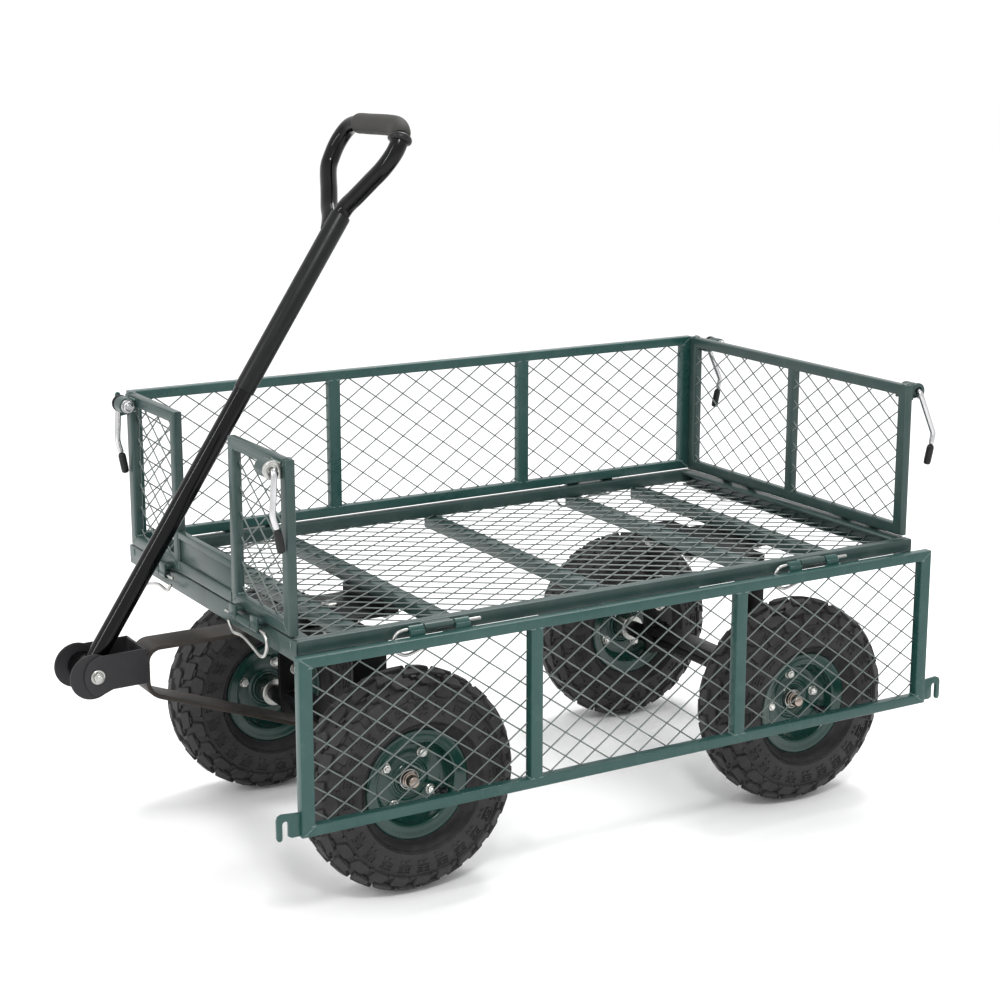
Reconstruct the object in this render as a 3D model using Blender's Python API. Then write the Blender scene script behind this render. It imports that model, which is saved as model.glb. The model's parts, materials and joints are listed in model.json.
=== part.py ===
"""Steel mesh garden cart: four pneumatic wheels, a steered front axle with a drawbar and a folding
pull handle, a mesh deck, two drop-down mesh sides and two drop-down mesh gates with lever latches.

Frame: +X points forward to the drawbar, +Y to the cart's left, +Z up. The cart is built round the
middle of its bed, then moved so that the origin lies on the ground under the middle of its overall
size. The left side hangs folded down, the right side and both gates stand up, and the handle leans
back over the bed, which is the rest pose of every joint.
"""

from math import cos, pi, radians, sin

import bmesh
import bpy
from mathutils import Matrix, Vector

# ---------------------------------------------------------------- driving dimensions, metres
GAP = 0.0003  # clearance between pieces that touch
# Under the middle of the overall size, measured from under the middle of the bed
ORIGIN = Vector((0.0661, 0.0075, 0.0))

# Wheels: 10 inch pneumatic, 4.10/3.50-4
TYRE_RADIUS = 0.130
TYRE_WIDTH = 0.082
TYRE_WALL = 0.007
SECTION_RADIUS = 0.078  # radius at which the tyre is widest
SECTION_POWER = 0.77  # squareness of the tyre's section, 1 for an ellipse
RIM_FLANGE_RADIUS = 0.065
RIM_BARREL_RADIUS = 0.0525
BEAD_HALF_WIDTH = 0.0228
FRONT_AXLE_X = 0.270
REAR_AXLE_X = -0.280
WHEEL_Y = 0.190
AXLE_Z = TYRE_RADIUS
AXLE_RADIUS = 0.008
AXLE_TIP_Y = 0.2105
COLLAR_RADIUS = 0.011
HUB_RADIUS = 0.0175
HUB_INNER = -0.030
HUB_OUTER = 0.007
NUT_RADIUS = 0.0115
NUT_HEIGHT = 0.005

# Bed
BED_HALF_LENGTH = 0.427
BED_HALF_WIDTH = 0.240
RAIL_WIDTH = 0.014
RAIL_TOP = 0.3285
RAIL_BOTTOM = 0.3125
APRON_BOTTOM = 0.305
PLATE = 0.003
APRON_LIP = 0.022
CROSS_TUBES_X = (-0.335, -0.225, 0.0, 0.215, 0.325)
CROSS_TUBE_WIDTH = 0.020
CROSS_TUBE_BOTTOM = 0.2965
SHEET = 0.0008  # thickness of a mesh infill

# Hinges: three knuckles round a bent wire pin
KNUCKLE_RADIUS = 0.0045
PIN_BORE_RADIUS = 0.0024
PIN_RADIUS = 0.002
MIDDLE_KNUCKLE = 0.036
OUTER_KNUCKLE = 0.018
KNUCKLE_SPACE = 0.0015
HINGE_Z = 0.3245
SIDE_HINGE_Y = 0.249
SIDE_HINGES_X = (0.260, -0.260)
GATE_HINGE_X = 0.4365
GATE_HINGES_Y = (0.131, -0.131)

# Side panels, measured from the hinge axis: u across the panel, w through it
PANEL_NEAR = 0.0065
# Half length, height of the far rail and reach of the hooks: the right side sits inside the gates' corners
PANEL_SIZES = {1: (0.437, 0.2065, 0.028), -1: (0.4225, 0.198, 0.0165)}
PANEL_INNER = 0.005
PANEL_OUTER = 0.019
PANEL_RAIL = 0.012
POST_WIDTH = 0.0155
MIDDLE_POSTS_X = (-0.143, 0.143)
HOOK_THICKNESS = 0.004
HOOK_FINGER = 0.0065
HOOK_SLOT = 0.007

# Gates, measured from the hinge axis the same way
GATE_HALF_WIDTH = 0.2285
GATE_NEAR = 0.0065
GATE_FAR = 0.1985
GATE_FACE = 0.0075
GATE_BACK = 0.0190
GATE_RAIL = 0.014
OUTER_POST = 0.016
INNER_POST_Y = 0.084
INNER_POST = 0.014
NOTCH_SILL = 0.0555  # height of the low plate in the front gate's notch

# Latches on the gates' outer posts
LATCH_X = {1: 0.440, -1: 0.4455}
LATCH_Z = 0.512
LATCH_BOSS_RADIUS = 0.0100
LATCH_BOSS_Y = (0.194, 0.2145)
LEVER_Y = 0.224
LEVER_RADIUS = 0.0036
# Distance from the middle of the bed, and height; the rear levers rest swung further out
LEVER_KINK = {1: (0.4430, 0.468), -1: (0.4690, 0.4575)}
LEVER_END = {1: (0.4385, 0.449), -1: (0.4660, 0.4430)}
GRIP_END = {1: (0.4346, 0.4235), -1: (0.4600, 0.4176)}
LEVER_GRIP_RADIUS = 0.0048
CATCH_RADIUS = 0.0104
CATCH_INNER_RADIUS = 0.0062

# Front steering
TURNTABLE_BOTTOM = 0.2785
TURNTABLE_THICKNESS = 0.005
STRAP_THICKNESS = 0.005
STRAP_HALF_WIDTH = 0.022
STRAP_TOP = 0.277
STRAP_FRONT_X = 0.512
STRAP_BEND = 0.018
STRAP_LOWER = (0.494, 0.2155)
STRAP_FOOT = (0.2882, 0.1385)
YOKE_HALF_WIDTH = 0.104
YOKE_PLATE = 0.006
YOKE_HALF_DEPTH = 0.022
YOKE_TOP = 0.2715
YOKE_BOTTOM = 0.112
KINGPIN_RADIUS = 0.008

# Drawbar coupling and handle
PIVOT = Vector((0.572, 0.0, 0.255))
COUPLING_HALF_WIDTH = 0.030
CHEEK = 0.005
CHEEK_RADIUS = 0.027
CHEEK_CENTRE_X = 0.578
COUPLING_TOP = 0.2795
COUPLING_BOTTOM = 0.2376
COUPLING_BACK = 0.5125
COUPLING_BLOCK_FRONT = 0.535
BOLT_RADIUS = 0.006
BOLT_HEAD_RADIUS = 0.0085
HANDLE_LEAN = radians(56.5)  # of the handle above the horizontal, leaning back
TUBE_RADIUS = 0.011
TUBE_END = 0.375
FOOT_RADIUS = 0.0165
SLEEVE_RADIUS = 0.0121
SLEEVE_START = 0.360
SLEEVE_END = 0.592
SLEEVE_BORE = 0.0113
LOOP_RADIUS = 0.0104
LOOP_TILT = radians(7)
GRIP_RADIUS = 0.0124
# The hand loop's bends in its own plane: distance past the sleeve, and to the left
LOOP_POINTS = (
    (-0.028, 0.000), (0.007, 0.001), (0.026, 0.018), (0.043, 0.040), (0.063, 0.056), (0.083, 0.065),
    (0.100, 0.062), (0.111, 0.048), (0.113, 0.025), (0.112, -0.020), (0.111, -0.050), (0.105, -0.070),
    (0.087, -0.081), (0.067, -0.082), (0.051, -0.077), (0.025, -0.053), (0.006, -0.036), (-0.006, -0.0215),
    (-0.020, -0.009),
)
GRIP_FIRST_BEND = 6
GRIP_LAST_BEND = 10

MATERIALS = {
    "green_paint": ((0.03, 0.13, 0.11), 0.35, 0.0),
    "green_mesh": ((0.10, 0.17, 0.15), 0.45, 0.0),
    "green_rim": ((0.02, 0.12, 0.08), 0.25, 0.0),
    "black_paint": ((0.015, 0.015, 0.016), 0.35, 0.0),
    "charcoal_paint": ((0.05, 0.05, 0.052), 0.5, 0.0),
    "dark_strap": ((0.06, 0.055, 0.05), 0.5, 0.0),
    "gloss_black": ((0.01, 0.01, 0.01), 0.15, 0.0),
    "zinc": ((0.7, 0.7, 0.68), 0.3, 1.0),
    "chrome": ((0.8, 0.8, 0.8), 0.12, 1.0),
    "tyre_rubber": ((0.035, 0.033, 0.033), 0.8, 0.0),
    "grip_rubber": ((0.09, 0.09, 0.088), 0.75, 0.0),
    "vinyl": ((0.02, 0.02, 0.02), 0.5, 0.0),
}


# ---------------------------------------------------------------- helpers
def clear_scene():
    for thing in list(bpy.data.objects):
        bpy.data.objects.remove(thing, do_unlink=True)


def material(name):
    found = bpy.data.materials.get(name)
    if found:
        return found
    colour, roughness, metallic = MATERIALS[name]
    made = bpy.data.materials.new(name)
    made.use_nodes = True
    shader = made.node_tree.nodes["Principled BSDF"]
    shader.inputs["Base Color"].default_value = (*colour, 1.0)
    shader.inputs["Roughness"].default_value = roughness
    shader.inputs["Metallic"].default_value = metallic
    return made


def finish(name, mesh_data, look, round_piece=False):
    """Turns a bmesh into a named object with its material."""
    bmesh.ops.recalc_face_normals(mesh_data, faces=mesh_data.faces)
    mesh = bpy.data.meshes.new(name)
    mesh_data.to_mesh(mesh)
    mesh_data.free()
    piece = bpy.data.objects.new(name, mesh)
    bpy.context.scene.collection.objects.link(piece)
    if look:
        mesh.materials.append(material(look))
    if round_piece:
        mesh.shade_smooth()
        mesh.set_sharp_from_angle(angle=radians(40))
    return piece


def set_origin(piece, point):
    """Moves an object's origin onto its joint axis and leaves its shape where it is."""
    piece.data.transform(Matrix.Translation(-Vector(point)))
    piece.location = point


def combine(piece, tool, operation):
    """Applies one exact Boolean with a helper piece, then removes the helper."""
    change = piece.modifiers.new(operation.lower(), "BOOLEAN")
    change.operation = operation
    change.solver = "EXACT"
    change.object = tool
    evaluated = piece.evaluated_get(bpy.context.evaluated_depsgraph_get())
    mesh = bpy.data.meshes.new_from_object(evaluated)
    piece.modifiers.clear()
    piece.data = mesh
    bpy.data.objects.remove(tool, do_unlink=True)
    return piece


def box_mesh(boxes):
    """The union of axis-aligned boxes as one closed surface, found cell by cell on their own planes."""
    planes = [sorted({round(v, 6) for box in boxes for v in box[axis]}) for axis in range(3)]
    middles = [[(a + b) / 2 for a, b in zip(p, p[1:])] for p in planes]

    def inside(point):
        return any(all(lo < v < hi for v, (lo, hi) in zip(point, box)) for box in boxes)

    filled = {
        (i, j, k)
        for i, x in enumerate(middles[0])
        for j, y in enumerate(middles[1])
        for k, z in enumerate(middles[2])
        if inside((x, y, z))
    }
    shape = bmesh.new()
    corners = {}

    def corner(index):
        if index not in corners:
            corners[index] = shape.verts.new([planes[axis][n] for axis, n in enumerate(index)])
        return corners[index]

    for cell in filled:
        for axis in range(3):
            for side in (0, 1):
                beside = list(cell)
                beside[axis] += 1 if side else -1
                if tuple(beside) in filled:
                    continue
                u, v = (axis + 1) % 3, (axis + 2) % 3
                ring = []
                for du, dv in ((0, 0), (1, 0), (1, 1), (0, 1)):
                    index = list(cell)
                    index[axis] += side
                    index[u] += du
                    index[v] += dv
                    ring.append(corner(tuple(index)))
                shape.faces.new(ring if side else ring[::-1])
    bmesh.ops.dissolve_limit(
        shape, angle_limit=radians(1), verts=shape.verts, edges=shape.edges, use_dissolve_boundaries=False
    )
    return shape


def boxes_piece(name, boxes, look):
    return finish(name, box_mesh(boxes), look)


def span(a, b):
    return (min(a, b), max(a, b))


def frame_of(direction):
    """Two unit vectors at right angles to a direction."""
    along = Vector(direction).normalized()
    helper = Vector((0, 1, 0)) if abs(along.y) < 0.9 else Vector((1, 0, 0))
    first = along.cross(helper).normalized()
    return first, along.cross(first).normalized()


def prism(points, direction):
    """A bmesh that extrudes a flat outline along a direction."""
    shape = bmesh.new()
    low = [shape.verts.new(p) for p in points]
    high = [shape.verts.new(Vector(p) + Vector(direction)) for p in points]
    count = len(points)
    shape.faces.new(low)
    shape.faces.new(high[::-1])
    for n in range(count):
        shape.faces.new((low[n], low[(n + 1) % count], high[(n + 1) % count], high[n]))
    return shape


def cylinder(name, start, end, radius, look=None, sides=16, turn=0.0):
    start, end = Vector(start), Vector(end)
    first, second = frame_of(end - start)
    ring = [
        start + radius * (cos(turn + 2 * pi * n / sides) * first + sin(turn + 2 * pi * n / sides) * second)
        for n in range(sides)
    ]
    return finish(name, prism(ring, end - start), look, round_piece=sides > 6)


def turned(name, profile, centre, look, sides, outward=1):
    """Turns a closed outline of (radius, distance along the axle) about the Y axis through centre."""
    shape = bmesh.new()
    rings = []
    for n in range(sides):
        angle = 2 * pi * n / sides
        rings.append([
            shape.verts.new((
                centre[0] + radius * cos(angle),
                centre[1] + outward * along,
                centre[2] + radius * sin(angle),
            ))
            for radius, along in profile
        ])
    count = len(profile)
    for n in range(sides):
        this, following = rings[n], rings[(n + 1) % sides]
        for m in range(count):
            o = (m + 1) % count
            shape.faces.new((this[m], this[o], following[o], following[m]))
    return finish(name, shape, look, round_piece=True)


def swept(name, points, radius, look, sides=8):
    """A round bar along a bent line, with mitred bends and flat ends."""
    points = [Vector(p) for p in points]
    shape = bmesh.new()
    tangents = []
    for n, point in enumerate(points):
        before = points[max(n - 1, 0)]
        after = points[min(n + 1, len(points) - 1)]
        into = (point - before).normalized() if n else (after - point).normalized()
        out = (after - point).normalized() if n < len(points) - 1 else into
        tangents.append((into, out))
    first, _ = frame_of(tangents[0][0])
    rings = []
    for point, (into, out) in zip(points, tangents):
        normal = (into + out).normalized()
        second = into.cross(first).normalized()
        first = second.cross(into).normalized()
        ring = []
        for n in range(sides):
            angle = 2 * pi * (n + 0.5) / sides
            offset = radius * (cos(angle) * first + sin(angle) * second)
            slide = -offset.dot(normal) / into.dot(normal)
            ring.append(shape.verts.new(point + offset + slide * into))
        rings.append(ring)
        first = (first - first.dot(out) * out).normalized()
    for low, high in zip(rings, rings[1:]):
        for n in range(sides):
            shape.faces.new((low[n], low[(n + 1) % sides], high[(n + 1) % sides], high[n]))
    shape.faces.new(rings[0])
    shape.faces.new(rings[-1][::-1])
    return finish(name, shape, look, round_piece=True)


def smooth_line(points, steps):
    """Points on a smooth curve through the given points."""
    points = [Vector(p) for p in points]
    padded = [2 * points[0] - points[1], *points, 2 * points[-1] - points[-2]]
    line = []
    for a, b, c, d in zip(padded, padded[1:], padded[2:], padded[3:]):
        for n in range(steps):
            t = n / steps
            line.append(0.5 * (
                2 * b + (c - a) * t + (2 * a - 5 * b + 4 * c - d) * t**2 + (3 * b - a - 3 * c + d) * t**3
            ))
    line.append(points[-1])
    return line


def joined(pieces):
    """One helper mesh that holds several separate helper pieces."""
    shape = bmesh.new()
    for piece in pieces:
        shape.from_mesh(piece.data)
        bpy.data.objects.remove(piece, do_unlink=True)
    mesh = bpy.data.meshes.new("helper")
    shape.to_mesh(mesh)
    shape.free()
    helper = bpy.data.objects.new("helper", mesh)
    bpy.context.scene.collection.objects.link(helper)
    return helper


# ---------------------------------------------------------------- hinges
class HingeLine:
    """Places a hinge's parts: e runs along the axis, w away from the folded-down face, u up the leaf."""

    def __init__(self, middle, along, outward, up):
        self.middle = Vector(middle)
        self.along = Vector(along)
        self.outward = Vector(outward)
        self.up = Vector(up)

    def point(self, e, w, u):
        return self.middle + e * self.along + w * self.outward + u * self.up

    def block(self, e_span, w_span, u_span):
        a = self.point(e_span[0], w_span[0], u_span[0])
        b = self.point(e_span[1], w_span[1], u_span[1])
        return [span(p, q) for p, q in zip(a, b)]


def knuckles(line, spans, links):
    """Knuckle barrels with their links, and the bores to cut through them."""
    bodies = []
    bores = []
    for low, high in spans:
        barrel = cylinder("helper", line.point(low, 0, 0), line.point(high, 0, 0), KNUCKLE_RADIUS, sides=10)
        link = boxes_piece("helper", [line.block((low, high), w, u) for w, u in links], None)
        bodies.append(combine(barrel, link, "UNION"))
        bores.append(cylinder(
            "helper", line.point(low - 0.002, 0, 0), line.point(high + 0.002, 0, 0), PIN_BORE_RADIUS, sides=8
        ))
    return bodies, bores


def middle_spans():
    return [(-MIDDLE_KNUCKLE / 2, MIDDLE_KNUCKLE / 2)]


def outer_spans():
    near = MIDDLE_KNUCKLE / 2 + KNUCKLE_SPACE
    return [(near, near + OUTER_KNUCKLE), (-near - OUTER_KNUCKLE, -near)]


def add_knuckles(piece, sets):
    bodies = [b for one, _ in sets for b in one]
    bores = [b for _, one in sets for b in one]
    combine(piece, joined(bodies), "UNION")
    combine(piece, joined(bores), "DIFFERENCE")


def wire_pin(name, line, inward):
    """A hairpin of zinc wire: one leg through the knuckles, the other bent away below as a clip."""
    legs = (
        (-0.054, 0.0, 0.0), (0.046, 0.0, 0.0), (0.053, 0.0, -0.004), (0.0555, 0.3, -0.012),
        (0.050, 0.8, -0.024), (0.038, 1.0, -0.029), (0.018, 1.0, -0.024), (-0.008, 1.0, -0.0185),
        (-0.034, 1.0, -0.0195), (-0.047, 1.0, -0.0095),
    )
    points = [line.middle + e * line.along + Vector((0, 0, z)) + w * Vector(inward) for e, w, z in legs]
    return swept(name, points, PIN_RADIUS, "zinc", sides=6)


# ---------------------------------------------------------------- bed
def side_hinge_lines(side):
    raised = side < 0
    return [
        HingeLine(
            (x, side * SIDE_HINGE_Y, HINGE_Z),
            (1, 0, 0),
            (0, 1, 0),
            (0, 0, 1 if raised else -1),
        )
        for x in SIDE_HINGES_X
    ]


def gate_hinge_lines(end):
    return [
        HingeLine((end * GATE_HINGE_X, y, HINGE_Z), (0, 1 if y > 0 else -1, 0), (-end, 0, 0), (0, 0, 1))
        for y in GATE_HINGES_Y
    ]


def bed_frame():
    """Side rails, folded end aprons and cross tubes, welded into one frame, with the fixed knuckles."""
    inner_y = BED_HALF_WIDTH - RAIL_WIDTH
    boxes = []
    for side in (1, -1):
        boxes.append([
            (-BED_HALF_LENGTH, BED_HALF_LENGTH),
            span(side * inner_y, side * BED_HALF_WIDTH),
            (RAIL_BOTTOM, RAIL_TOP),
        ])
    for end in (1, -1):
        across = (-BED_HALF_WIDTH, BED_HALF_WIDTH)
        tip = end * BED_HALF_LENGTH
        boxes.append([span(tip - end * PLATE, tip), across, (APRON_BOTTOM, RAIL_TOP)])
        boxes.append([span(tip - end * APRON_LIP, tip), across, (RAIL_TOP - PLATE, RAIL_TOP)])
    for x in CROSS_TUBES_X:
        boxes.append([
            (x - CROSS_TUBE_WIDTH / 2, x + CROSS_TUBE_WIDTH / 2),
            (-BED_HALF_WIDTH + 0.002, BED_HALF_WIDTH - 0.002),
            (CROSS_TUBE_BOTTOM, RAIL_BOTTOM),
        ])
    frame = boxes_piece("bed_frame", boxes, "green_paint")
    sets = []
    for side in (1, -1):
        for line in side_hinge_lines(side):
            fixed = HingeLine(line.middle, line.along, (0, -side, 0), (0, 0, 1))
            sets.append(knuckles(fixed, middle_spans(), [((0.0, 0.010), (-0.003, 0.0032))]))
    for end in (1, -1):
        for line in gate_hinge_lines(end):
            sets.append(knuckles(line, middle_spans(), [((0.0, 0.0105), (-0.003, 0.003))]))
    add_knuckles(frame, sets)
    return frame


def deck_mesh():
    inset = 0.0005
    half_x = BED_HALF_LENGTH - PLATE - inset
    half_y = BED_HALF_WIDTH - RAIL_WIDTH - inset
    low = RAIL_BOTTOM + GAP
    sheet = [(-half_x, half_x), (-half_y, half_y), (low, low + SHEET)]
    return boxes_piece("deck_mesh", [sheet], "green_mesh")


# ---------------------------------------------------------------- sides and gates
def hook_outline(line, end, size):
    """The J hook that stands out past a panel's end at its free corner, open away from the hinge."""
    half, far, reach = size
    start = half - 0.004
    tip = half + reach
    slot_out = tip - HOOK_FINGER
    slot_in = slot_out - HOOK_SLOT
    corners = [
        (start, far - 0.028), (tip - 0.006, far - 0.030), (tip, far - 0.024), (tip, far - 0.004),
        (slot_out + 0.003, far), (slot_out, far - 0.004), (slot_out, far - 0.019),
        (slot_out - 0.0035, far - 0.022), (slot_in, far - 0.019), (slot_in, far - 0.004),
    ]
    shoulder = max(start, slot_in - 0.004)
    corners += [(shoulder, far - 0.002), (start, far - 0.002)] if shoulder > start else [(start, far - 0.005)]
    w = (PANEL_INNER + PANEL_OUTER - HOOK_THICKNESS) / 2
    return [Vector((end * x, 0, 0)) + line.point(0, w, u) for x, u in corners]


def side_panel(side, label):
    """One long side: rails and four posts in one welded frame with three mesh bays and two J hooks."""
    lines = side_hinge_lines(side)
    axis_line = HingeLine((0, side * SIDE_HINGE_Y, HINGE_Z), (1, 0, 0), lines[0].outward, lines[0].up)
    through = (PANEL_INNER, PANEL_OUTER)
    half, far, _ = PANEL_SIZES[side]
    boxes = [
        axis_line.block((-half, half), through, (PANEL_NEAR, PANEL_NEAR + PANEL_RAIL)),
        axis_line.block((-half, half), through, (far - PANEL_RAIL, far)),
    ]
    end_post = half - POST_WIDTH / 2
    posts = (-end_post, *MIDDLE_POSTS_X, end_post)
    for x in posts:
        boxes.append(axis_line.block((x - POST_WIDTH / 2, x + POST_WIDTH / 2), through, (PANEL_NEAR, far)))
    frame = boxes_piece(f"side_frame_{label}", boxes, "green_paint")
    hooks = [
        finish(
            "helper",
            prism(hook_outline(axis_line, end, PANEL_SIZES[side]), HOOK_THICKNESS * axis_line.outward),
            None,
        )
        for end in (1, -1)
    ]
    combine(frame, joined(hooks), "UNION")
    links = [((0.0028, 0.0083), (0.0, PANEL_NEAR + 0.001))]
    add_knuckles(frame, [knuckles(line, outer_spans(), links) for line in lines])
    set_origin(frame, axis_line.middle)
    middle = (PANEL_INNER + PANEL_OUTER) / 2
    for place, low, high in zip(("rear", "middle", "front"), posts, posts[1:]):
        sheet = boxes_piece(
            f"side_mesh_{label}_{place}",
            [axis_line.block(
                (low + POST_WIDTH / 2 + GAP, high - POST_WIDTH / 2 - GAP),
                (middle - SHEET / 2, middle + SHEET / 2),
                (PANEL_NEAR + PANEL_RAIL + GAP, far - PANEL_RAIL - GAP),
            )],
            "green_mesh",
        )
        set_origin(sheet, axis_line.middle)
    for place, line in zip(("front", "rear"), lines):
        wire_pin(f"hinge_pin_{label}_{place}", line, (0, -0.002 * side, 0))


def latch_point(end, side, x, z, y):
    return Vector((end * x, side * y, z))


def gate(end, label, notched):
    """One end gate: posts and rails in one welded frame with mesh bays; the front one has a notch."""
    lines = gate_hinge_lines(end)
    leaf = HingeLine((end * GATE_HINGE_X, 0, HINGE_Z), (0, 1, 0), (-end, 0, 0), (0, 0, 1))
    through = (GATE_FACE, GATE_BACK)
    half = GATE_HALF_WIDTH
    boxes = [leaf.block((-half, half), through, (GATE_NEAR, GATE_NEAR + GATE_RAIL))]
    full = (GATE_NEAR, GATE_FAR)
    top = (GATE_FAR - GATE_RAIL, GATE_FAR)
    for side in (1, -1):
        boxes.append(leaf.block((side * (half - OUTER_POST), side * half), through, full))
    inner = INNER_POST_Y + INNER_POST / 2
    if notched:
        for side in (1, -1):
            boxes.append(leaf.block((side * (inner - INNER_POST), side * inner), through, full))
            boxes.append(leaf.block((side * (inner - INNER_POST), side * half), through, top))
        reach = inner - INNER_POST
        plate = (GATE_FACE + 0.003, GATE_FACE + 0.003 + PLATE)
        boxes.append(leaf.block((-reach, reach), plate, (GATE_NEAR, NOTCH_SILL)))
        sill = (NOTCH_SILL - 0.008, NOTCH_SILL)
        boxes.append(leaf.block((-reach, reach), (GATE_FACE, GATE_BACK - 0.002), sill))
        bays = [(inner, half - OUTER_POST), (-half + OUTER_POST, -inner)]
    else:
        post = INNER_POST / 2
        boxes.append(leaf.block((-post, post), through, full))
        boxes.append(leaf.block((-half, half), through, top))
        bays = [(post, half - OUTER_POST), (-half + OUTER_POST, -post)]
    boss_low, boss_high = LATCH_BOSS_Y
    for side in (1, -1):
        boxes.append([
            span(end * (GATE_HINGE_X - GATE_FACE), end * LATCH_X[end]),
            span(side * (boss_low + 0.002), side * (boss_high - 0.001)),
            (LATCH_Z - 0.0062, LATCH_Z + 0.0062),
        ])
    frame = boxes_piece(f"gate_frame_{label}", boxes, "green_paint")
    bosses = []
    holes = []
    for side in (1, -1):
        low, high = (latch_point(end, side, LATCH_X[end], LATCH_Z, y) for y in LATCH_BOSS_Y)
        reach = 0.004 * (high - low).normalized()
        bosses.append(cylinder("helper", low, high, LATCH_BOSS_RADIUS, sides=14))
        holes.append(cylinder("helper", low - reach, high + reach, LEVER_RADIUS + GAP, sides=10))
    combine(frame, joined(bosses), "UNION")
    combine(frame, joined(holes), "DIFFERENCE")
    links = [((-0.0035, 0.0035), (0.002, 0.0115)), ((0.0, GATE_FACE + 0.0008), (GATE_NEAR, 0.0115))]
    add_knuckles(frame, [knuckles(line, outer_spans(), links) for line in lines])
    set_origin(frame, leaf.middle)
    middle = (GATE_FACE + GATE_BACK) / 2
    for place, (low, high) in zip(("left", "right"), bays):
        sheet = boxes_piece(
            f"gate_mesh_{label}_{place}",
            [leaf.block(
                (low + GAP, high - GAP),
                (middle - SHEET / 2, middle + SHEET / 2),
                (GATE_NEAR + GATE_RAIL + GAP, GATE_FAR - GATE_RAIL - GAP),
            )],
            "green_mesh",
        )
        set_origin(sheet, leaf.middle)
    for place, line in zip(("left", "right"), lines):
        wire_pin(f"hinge_pin_{label}_{place}", line, (0, 0, 0))


# ---------------------------------------------------------------- latches
def catch_outline(end, side, y):
    """A C-shaped catch plate with its mouth facing down."""
    centre = latch_point(end, side, LATCH_X[end], LATCH_Z, y)
    mouth = radians(32)
    outer = [-pi / 2 + mouth + (2 * pi - 2 * mouth) * n / 14 for n in range(15)]
    ring = [centre + CATCH_RADIUS * Vector((cos(a), 0, sin(a))) for a in outer]
    ring += [centre + CATCH_INNER_RADIUS * Vector((cos(a), 0, sin(a))) for a in reversed(outer)]
    return ring


def latch(end, side, label):
    """A bent rod lever with its catch plate and nut, and a vinyl grip on its free end."""
    low, high = LATCH_BOSS_Y
    x = LATCH_X[end]
    lever = swept(
        f"latch_lever_{label}",
        [
            latch_point(end, side, x, LATCH_Z, low - 0.0075),
            latch_point(end, side, x, LATCH_Z, LEVER_Y - 0.003),
            latch_point(end, side, x + 0.0002, LATCH_Z - 0.003, LEVER_Y),
            latch_point(end, side, *LEVER_KINK[end], LEVER_Y),
            latch_point(end, side, *LEVER_END[end], LEVER_Y + 0.0005),
        ],
        LEVER_RADIUS,
        "chrome",
        sides=8,
    )
    plate_y = high + 0.0008
    plate = finish("helper", prism(catch_outline(end, side, plate_y), (0, side * 0.003, 0)), None)
    bridge = boxes_piece(
        "helper",
        [[
            span(end * (x - 0.008), end * (x + 0.008)),
            span(side * (plate_y + 0.0004), side * (plate_y + 0.0026)),
            (LATCH_Z + 0.0005, LATCH_Z + 0.0030),
        ]],
        None,
    )
    combine(plate, bridge, "UNION")
    combine(lever, plate, "UNION")
    nut = cylinder(
        "helper",
        latch_point(end, side, x, LATCH_Z, low - 0.0065),
        latch_point(end, side, x, LATCH_Z, low - 0.0005),
        0.0070,
        sides=6,
    )
    combine(lever, nut, "UNION")
    set_origin(lever, latch_point(end, side, x, LATCH_Z, LEVER_Y))
    start = Vector(LEVER_END[end])
    stop = Vector(GRIP_END[end])
    along = (stop - start).normalized()
    marks = [start + along * GAP, start + along * 0.003, stop - along * 0.003, stop]
    grip = swept(
        f"latch_grip_{label}",
        [latch_point(end, side, mark.x, mark.y, LEVER_Y + 0.0005) for mark in marks],
        LEVER_GRIP_RADIUS,
        "vinyl",
        sides=10,
    )
    set_origin(grip, latch_point(end, side, x, LATCH_Z, LEVER_Y))


# ---------------------------------------------------------------- wheels and axles
def tyre_section():
    """An open tyre section: tread and sidewalls outside, then the two beads and the inner wall."""
    def arc(half_width, half_height, last_angle, count):
        marks = []
        for n in range(count):
            angle = radians(last_angle * n / (count - 1))
            wide = abs(cos(angle)) ** SECTION_POWER * (1 if cos(angle) > 0 else -1)
            tall = abs(sin(angle)) ** SECTION_POWER
            marks.append((SECTION_RADIUS + half_height * tall, half_width * wide))
        return marks

    height = TYRE_RADIUS - SECTION_RADIUS
    outer = arc(TYRE_WIDTH / 2, height, 180, 11)
    inner = arc(TYRE_WIDTH / 2 - TYRE_WALL, height - TYRE_WALL, 180, 7)
    lip = (RIM_FLANGE_RADIUS + 0.0014, BEAD_HALF_WIDTH + 0.0016)
    seat = (RIM_FLANGE_RADIUS - 0.001, BEAD_HALF_WIDTH + 0.0012)
    heel = (RIM_BARREL_RADIUS + 0.004, BEAD_HALF_WIDTH)
    toe = (RIM_BARREL_RADIUS + 0.004, BEAD_HALF_WIDTH - TYRE_WALL)
    left = [(radius, -along) for radius, along in (lip, seat, heel, toe)]
    return outer + left + inner[::-1] + [toe, heel, seat, lip]


def rim_section():
    """The two pressed halves back to back: centre disc, barrel and flanges."""
    face = [
        (HUB_RADIUS + GAP, 0.003), (0.041, 0.003), (0.0490, 0.0110), (0.0495, 0.0245),
        (0.0630, 0.0265), (RIM_FLANGE_RADIUS, 0.0250), (0.0540, 0.0236), (RIM_BARREL_RADIUS, 0.0215),
    ]
    return face + [(radius, -along) for radius, along in reversed(face)]


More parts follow.
